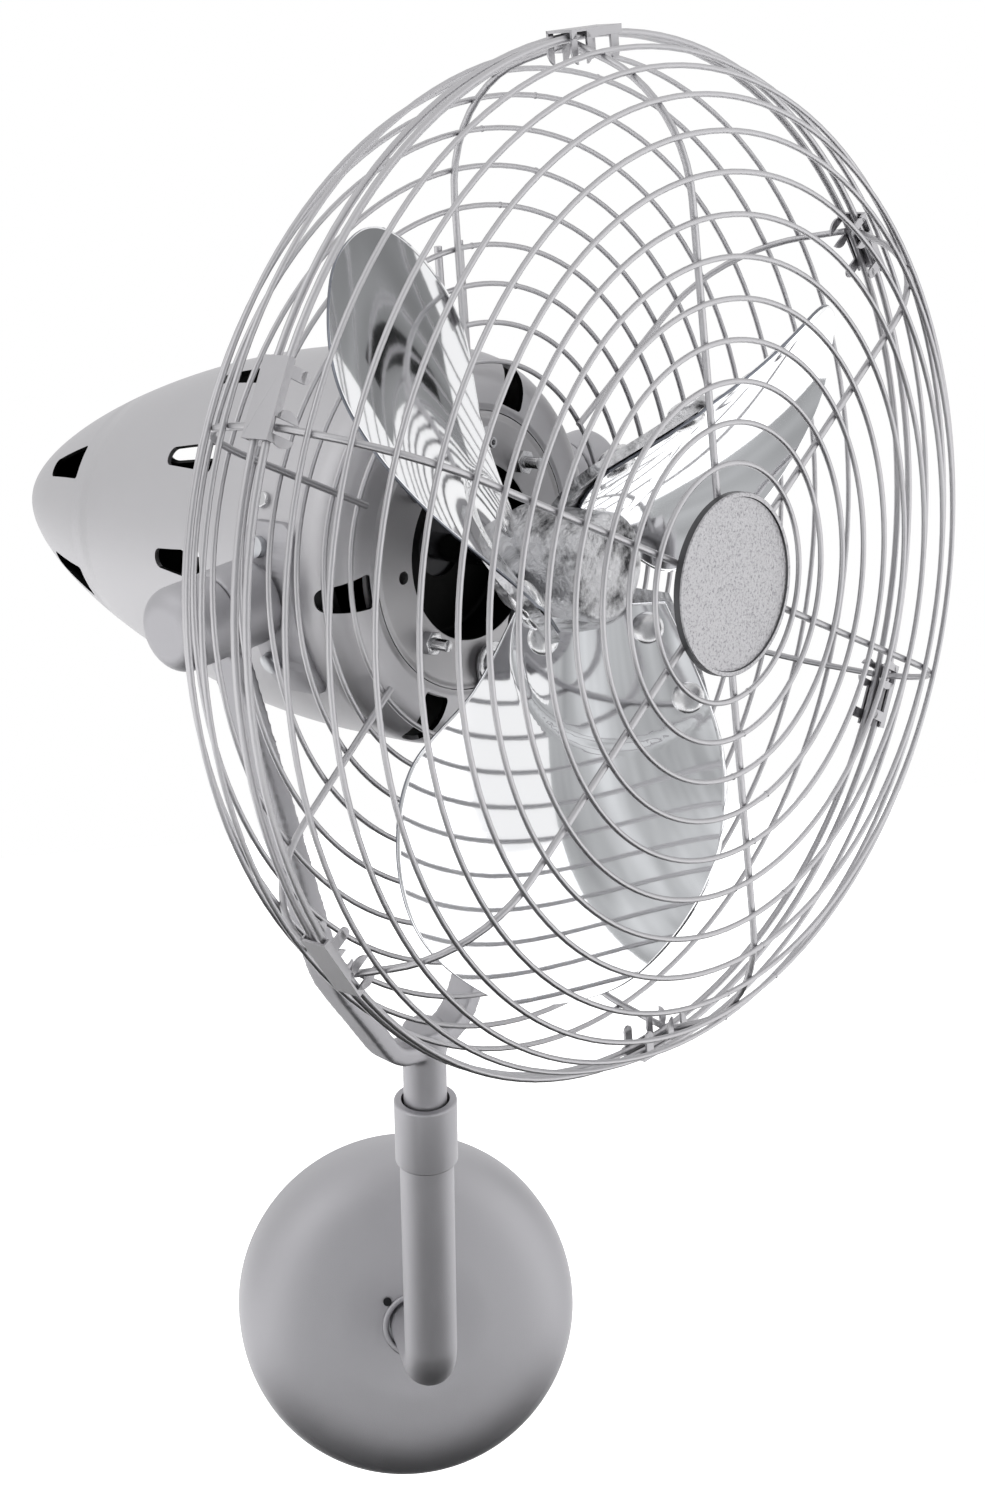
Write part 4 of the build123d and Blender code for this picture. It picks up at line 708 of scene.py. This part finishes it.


# ---- Badge
# Bare round casting with a raised rim and a fine pebbled field, riveted from behind to a backing
# disc in the front guard. Its walls that face sideways, round its edge and inside the rim, are
# painted dark as shade.
BADGE_RADIUS, BADGE_TOP, BADGE_FLOOR, BADGE_RIM = 0.0364, 0.18255, 0.18175, 0.0022
OUTER_BREAK, INNER_BREAK = (0.0004, 0.0005), 0.0003     # chamfers of the raised rim
badge_metal = metal("pebbled nickel", CAST_SKIN, Color=(0.44, 0.435, 0.45, 1),
                    Hollows=(0.24, 0.235, 0.25, 1), Lump_scale=1100.0, Stain_scale=900.0,
                    Relief=0.35)
# Near black: painted shade for the badge's walls that face sideways.
edge_shade_paint = metal("nickel with painted edge shade", PLATED_SKIN, Color=(0.1, 0.1, 0.105, 1), Clouds=0.5,
                  Roughness=0.5, Gloss_spread=0.1, Tooth=0.6, Tooth_scale=900.0)
bm = bmesh.new()
corners = [bm.verts.new((radius, 0, ahead)) for radius, ahead in (
    (0, BADGE_BACK), (BADGE_RADIUS, BADGE_BACK), (BADGE_RADIUS, BADGE_TOP - OUTER_BREAK[1]),
    (BADGE_RADIUS - OUTER_BREAK[0], BADGE_TOP),
    (BADGE_RADIUS - BADGE_RIM + INNER_BREAK, BADGE_TOP),
    (BADGE_RADIUS - BADGE_RIM, BADGE_FLOOR), (0, BADGE_FLOOR))]
profile = [bm.edges.new(pair) for pair in zip(corners, corners[1:])]
bmesh.ops.spin(bm, geom=corners + profile, cent=(0, 0, 0), axis=(0, 0, 1), angle=2 * pi, steps=160,
               use_merge=True)
badge = add_piece("badge", bm, badge_metal, "head", HEAD_PLACE, 30)
badge.data.materials.append(edge_shade_paint)
# Faces that turn sideways to the shaft take the painted shade.
for face in badge.data.polygons:
    if abs(face.normal.dot(shaft_way)) < 0.5:
        face.material_index = 1
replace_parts(badge, "guard_badge", "badge_rivet")


# ---- Cage clips
# Six spring steel channels snapped over both rim rings, plated like the cage. Each has a round
# tongue on both flanges, slotted for the radial wire, and a small tab at its other end.
CLIP_SHEET, CLIP_LENGTH, CLIP_PAST_RADIAL = 0.001, 0.030, 0.009
CLIP_LOW, CLIP_HIGH, CLIP_OUTER, CLIP_INNER_EDGE = 0.1194, 0.1300, 0.21262, 0.2092
TONGUE_RADIUS, TONGUE_MIDDLE, TONGUE_SLOT = 0.0066, 0.2056, 0.0058
TAB_RADIUS, TAB_MIDDLE, TAB_ALONG = 0.0023, 0.2025, -0.0105
clip_steel = metal("clip nickel", PLATED_SKIN, Color=(0.42, 0.415, 0.43, 1), Clouds=0.3,
                   Roughness=0.4, Gloss_spread=0.15, Tooth=0.3)


def block(bm, low, high):
    """Rectangular block between two corners."""
    low, high = Vector(low), Vector(high)
    place = Matrix.Translation((low + high) / 2) @ Matrix.Diagonal((*(high - low), 1))
    bmesh.ops.create_cube(bm, size=1, matrix=place)


def flange(bm, level):
    """One slotted side of the channel with its tongue and its tab, at a height along the shaft."""
    top = level + CLIP_SHEET
    for side in (-1, 1):
        slot_edge = CLIP_PAST_RADIAL + side * TONGUE_SLOT / 2
        near, far = sorted((slot_edge, side * CLIP_LENGTH / 2))
        block(bm, (CLIP_INNER_EDGE, near, level), (CLIP_OUTER, far, top))
        verts = rod(bm, TONGUE_RADIUS, level, top,
                    Matrix.Translation((TONGUE_MIDDLE, CLIP_PAST_RADIAL, 0)), 40)
        geom = list(dict.fromkeys(
            part for vert in verts for part in (vert, *vert.link_edges, *vert.link_faces)))
        cut = bmesh.ops.bisect_plane(bm, geom=geom, plane_co=(0, slot_edge, 0),
                                     plane_no=(0, -side, 0), clear_outer=True)["geom_cut"]
        rim = [part for part in cut if isinstance(part, bmesh.types.BMEdge)]
        bmesh.ops.holes_fill(bm, edges=rim)
    rod(bm, TAB_RADIUS, level, top, Matrix.Translation((TAB_MIDDLE, TAB_ALONG, 0)), 24)
    block(bm, (TAB_MIDDLE, TAB_ALONG - TAB_RADIUS, level),
          (CLIP_INNER_EDGE, TAB_ALONG + TAB_RADIUS, top))


for index in range(6):
    bm = bmesh.new()
    flange(bm, CLIP_LOW - CLIP_SHEET)
    flange(bm, CLIP_HIGH)
    block(bm, (CLIP_OUTER - CLIP_SHEET, -CLIP_LENGTH / 2, CLIP_LOW - CLIP_SHEET),
          (CLIP_OUTER, CLIP_LENGTH / 2, CLIP_HIGH + CLIP_SHEET))
    place = HEAD_PLACE @ clock(index * 60 + CLIP_PAST_RADIAL / RIM_RADIUS * 180 / pi)
    clip = add_piece(f"cage_clip_{index + 1}", bm, clip_steel, f"clip_{index + 1}", place)
    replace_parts(clip, f"guard_clip_{index + 1}")
    folds = clip.modifiers.new("folded edges", "BEVEL")
    folds.width = 0.0003
    folds.segments = 2


# ---- Studio
# White surroundings with soft lamps, grey cards that metal mirrors, and a plain pale floor.
CAMERA_PLACE = Vector((-0.1154, -1.4019, 0.3727))
CAMERA_RIGHT = Vector((0.9888, -0.1345, -0.0652))
CAMERA_UP = Vector((0.0708, 0.0372, 0.9968))
CAMERA_LENS, LONG_SIDE = 59.93, 36      # mm

camera_data = bpy.data.cameras.new("camera")
camera_data.lens = CAMERA_LENS
camera_data.sensor_width = LONG_SIDE
camera_data.clip_start = 0.05
camera_data.clip_end = 60
camera = bpy.data.objects.new("camera", camera_data)
bpy.context.scene.collection.objects.link(camera)
turned = Matrix((CAMERA_RIGHT, CAMERA_UP, CAMERA_RIGHT.cross(CAMERA_UP))).transposed().to_4x4()
camera.matrix_world = Matrix.Translation(CAMERA_PLACE) @ turned
bpy.context.scene.camera = camera
bpy.context.scene.view_settings.view_transform = "Standard"


def direct_view(tree):
    """Light path outputs, with a value that is 1 for what the camera or a mirror sees."""
    path = tree.nodes.new("ShaderNodeLightPath").outputs
    return path, reckon(tree, "MAXIMUM", path["Is Camera Ray"], path["Is Glossy Ray"])[0]


def white_world():
    """White to the camera and in mirrors, a little dimmer as a light."""
    world = bpy.data.worlds.new("studio")
    world.use_nodes = True
    bpy.context.scene.world = world
    tree = world.node_tree
    path, seen = direct_view(tree)
    through = reckon(tree, "MAXIMUM", seen, path["Is Transmission Ray"])[0]
    strength = add_node(tree, "ShaderNodeMapRange", Value=through, To_Min=0.7, To_Max=1.0)
    background = tree.nodes["Background"]
    background.inputs["Color"].default_value = (1, 1, 1, 1)
    tree.links.new(strength.outputs["Result"], background.inputs["Strength"])


white_world()


def card(name, centre, facing, size, grey, streak=0.0):
    """Grey studio card, streaked if asked, that shows in metal but not in the picture itself."""
    bm = bmesh.new()
    place = Matrix.Translation(centre) @ Vector(facing).to_track_quat("Z", "Y").to_matrix().to_4x4()
    bmesh.ops.create_grid(bm, x_segments=1, y_segments=1, size=0.5,
                          matrix=place @ Matrix.Diagonal((*size, 1, 1)))
    material, tree, _ = new_material(name)
    where = tree.nodes.new("ShaderNodeTexCoord").outputs["Object"]
    stretch = add_node(tree, "ShaderNodeMapping", Vector=where, Scale=(3.2, 3.2, 0.9))
    streaks = add_node(tree, "ShaderNodeTexNoise", Vector=stretch.outputs[0], Scale=1.0, Detail=2.0)
    level = add_node(tree, "ShaderNodeMapRange", Value=streaks.outputs["Fac"], From_Min=0.3,
                     From_Max=0.7, To_Min=grey * (1 - streak), To_Max=grey * (1 + streak))
    emission = add_node(tree, "ShaderNodeEmission", Color=(0.97, 0.985, 1, 1),
                        Strength=level.outputs["Result"])
    tree.links.new(emission.outputs[0], tree.nodes["Material Output"].inputs["Surface"])
    piece = make_object(name, bm, material)
    piece.visible_camera = False
    piece.visible_shadow = False
    piece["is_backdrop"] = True


card("card_below", (0.0, -0.1, -1.0), (0, 0, 1), (2.8, 2.4), 0.03)
card("card_front", (-0.2, -2.4, 0.3), (0, 1, 0), (2.2, 2.6), 0.6, 0.35)
card("card_behind", (1.5, 0.83, 0.99), (-0.79, -0.6, -0.1), (0.7, 0.36), 0.3, 0.5)
card("card_behind_dark", (1.32, 0.83, 0.93), (-0.79, -0.6, -0.1), (0.13, 0.2), 0.02, 0.5)
card("card_right", (1.75, 0.5, -0.42), (-0.8, -0.43, 0.42), (0.6, 0.42), 0.36, 0.7)


LAMP_TARGET, LAMP_SIZE = Vector((0, -0.3, 0.4)), 1.6


def soft_lamp(name, place, power):
    """Large square soft box aimed at the middle of the fan."""
    data = bpy.data.lights.new(name, "AREA")
    data.shape = "SQUARE"
    data.size = LAMP_SIZE
    data.energy = power
    lamp = bpy.data.objects.new(name, data)
    bpy.context.scene.collection.objects.link(lamp)
    aim = (LAMP_TARGET - Vector(place)).to_track_quat("-Z", "Y")
    lamp.matrix_world = Matrix.Translation(place) @ aim.to_matrix().to_4x4()


soft_lamp("key", (-1.6, -1.4, 1.9), power=7)
soft_lamp("fill", (1.9, -1.0, 1.0), power=4)


def floor(height, size):
    """Pale floor that is white to the camera and keeps the object's shadow."""
    bm = bmesh.new()
    bmesh.ops.create_grid(bm, x_segments=1, y_segments=1, size=size,
                          matrix=Matrix.Translation((0, 0, height)))
    material, tree, shader = new_material("pale floor")
    shader.inputs["Base Color"].default_value = (0.85, 0.85, 0.85, 1)
    shader.inputs["Roughness"].default_value = 0.9
    emission = add_node(tree, "ShaderNodeEmission", Color=(1, 1, 1, 1),
                        Strength=direct_view(tree)[1])
    add = tree.nodes.new("ShaderNodeAddShader")
    tree.links.new(shader.outputs[0], add.inputs[0])
    tree.links.new(emission.outputs[0], add.inputs[1])
    tree.links.new(add.outputs[0], tree.nodes["Material Output"].inputs["Surface"])
    make_object("floor", bm, material)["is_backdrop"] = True


floor(height=-1.25, size=20)

low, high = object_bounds()
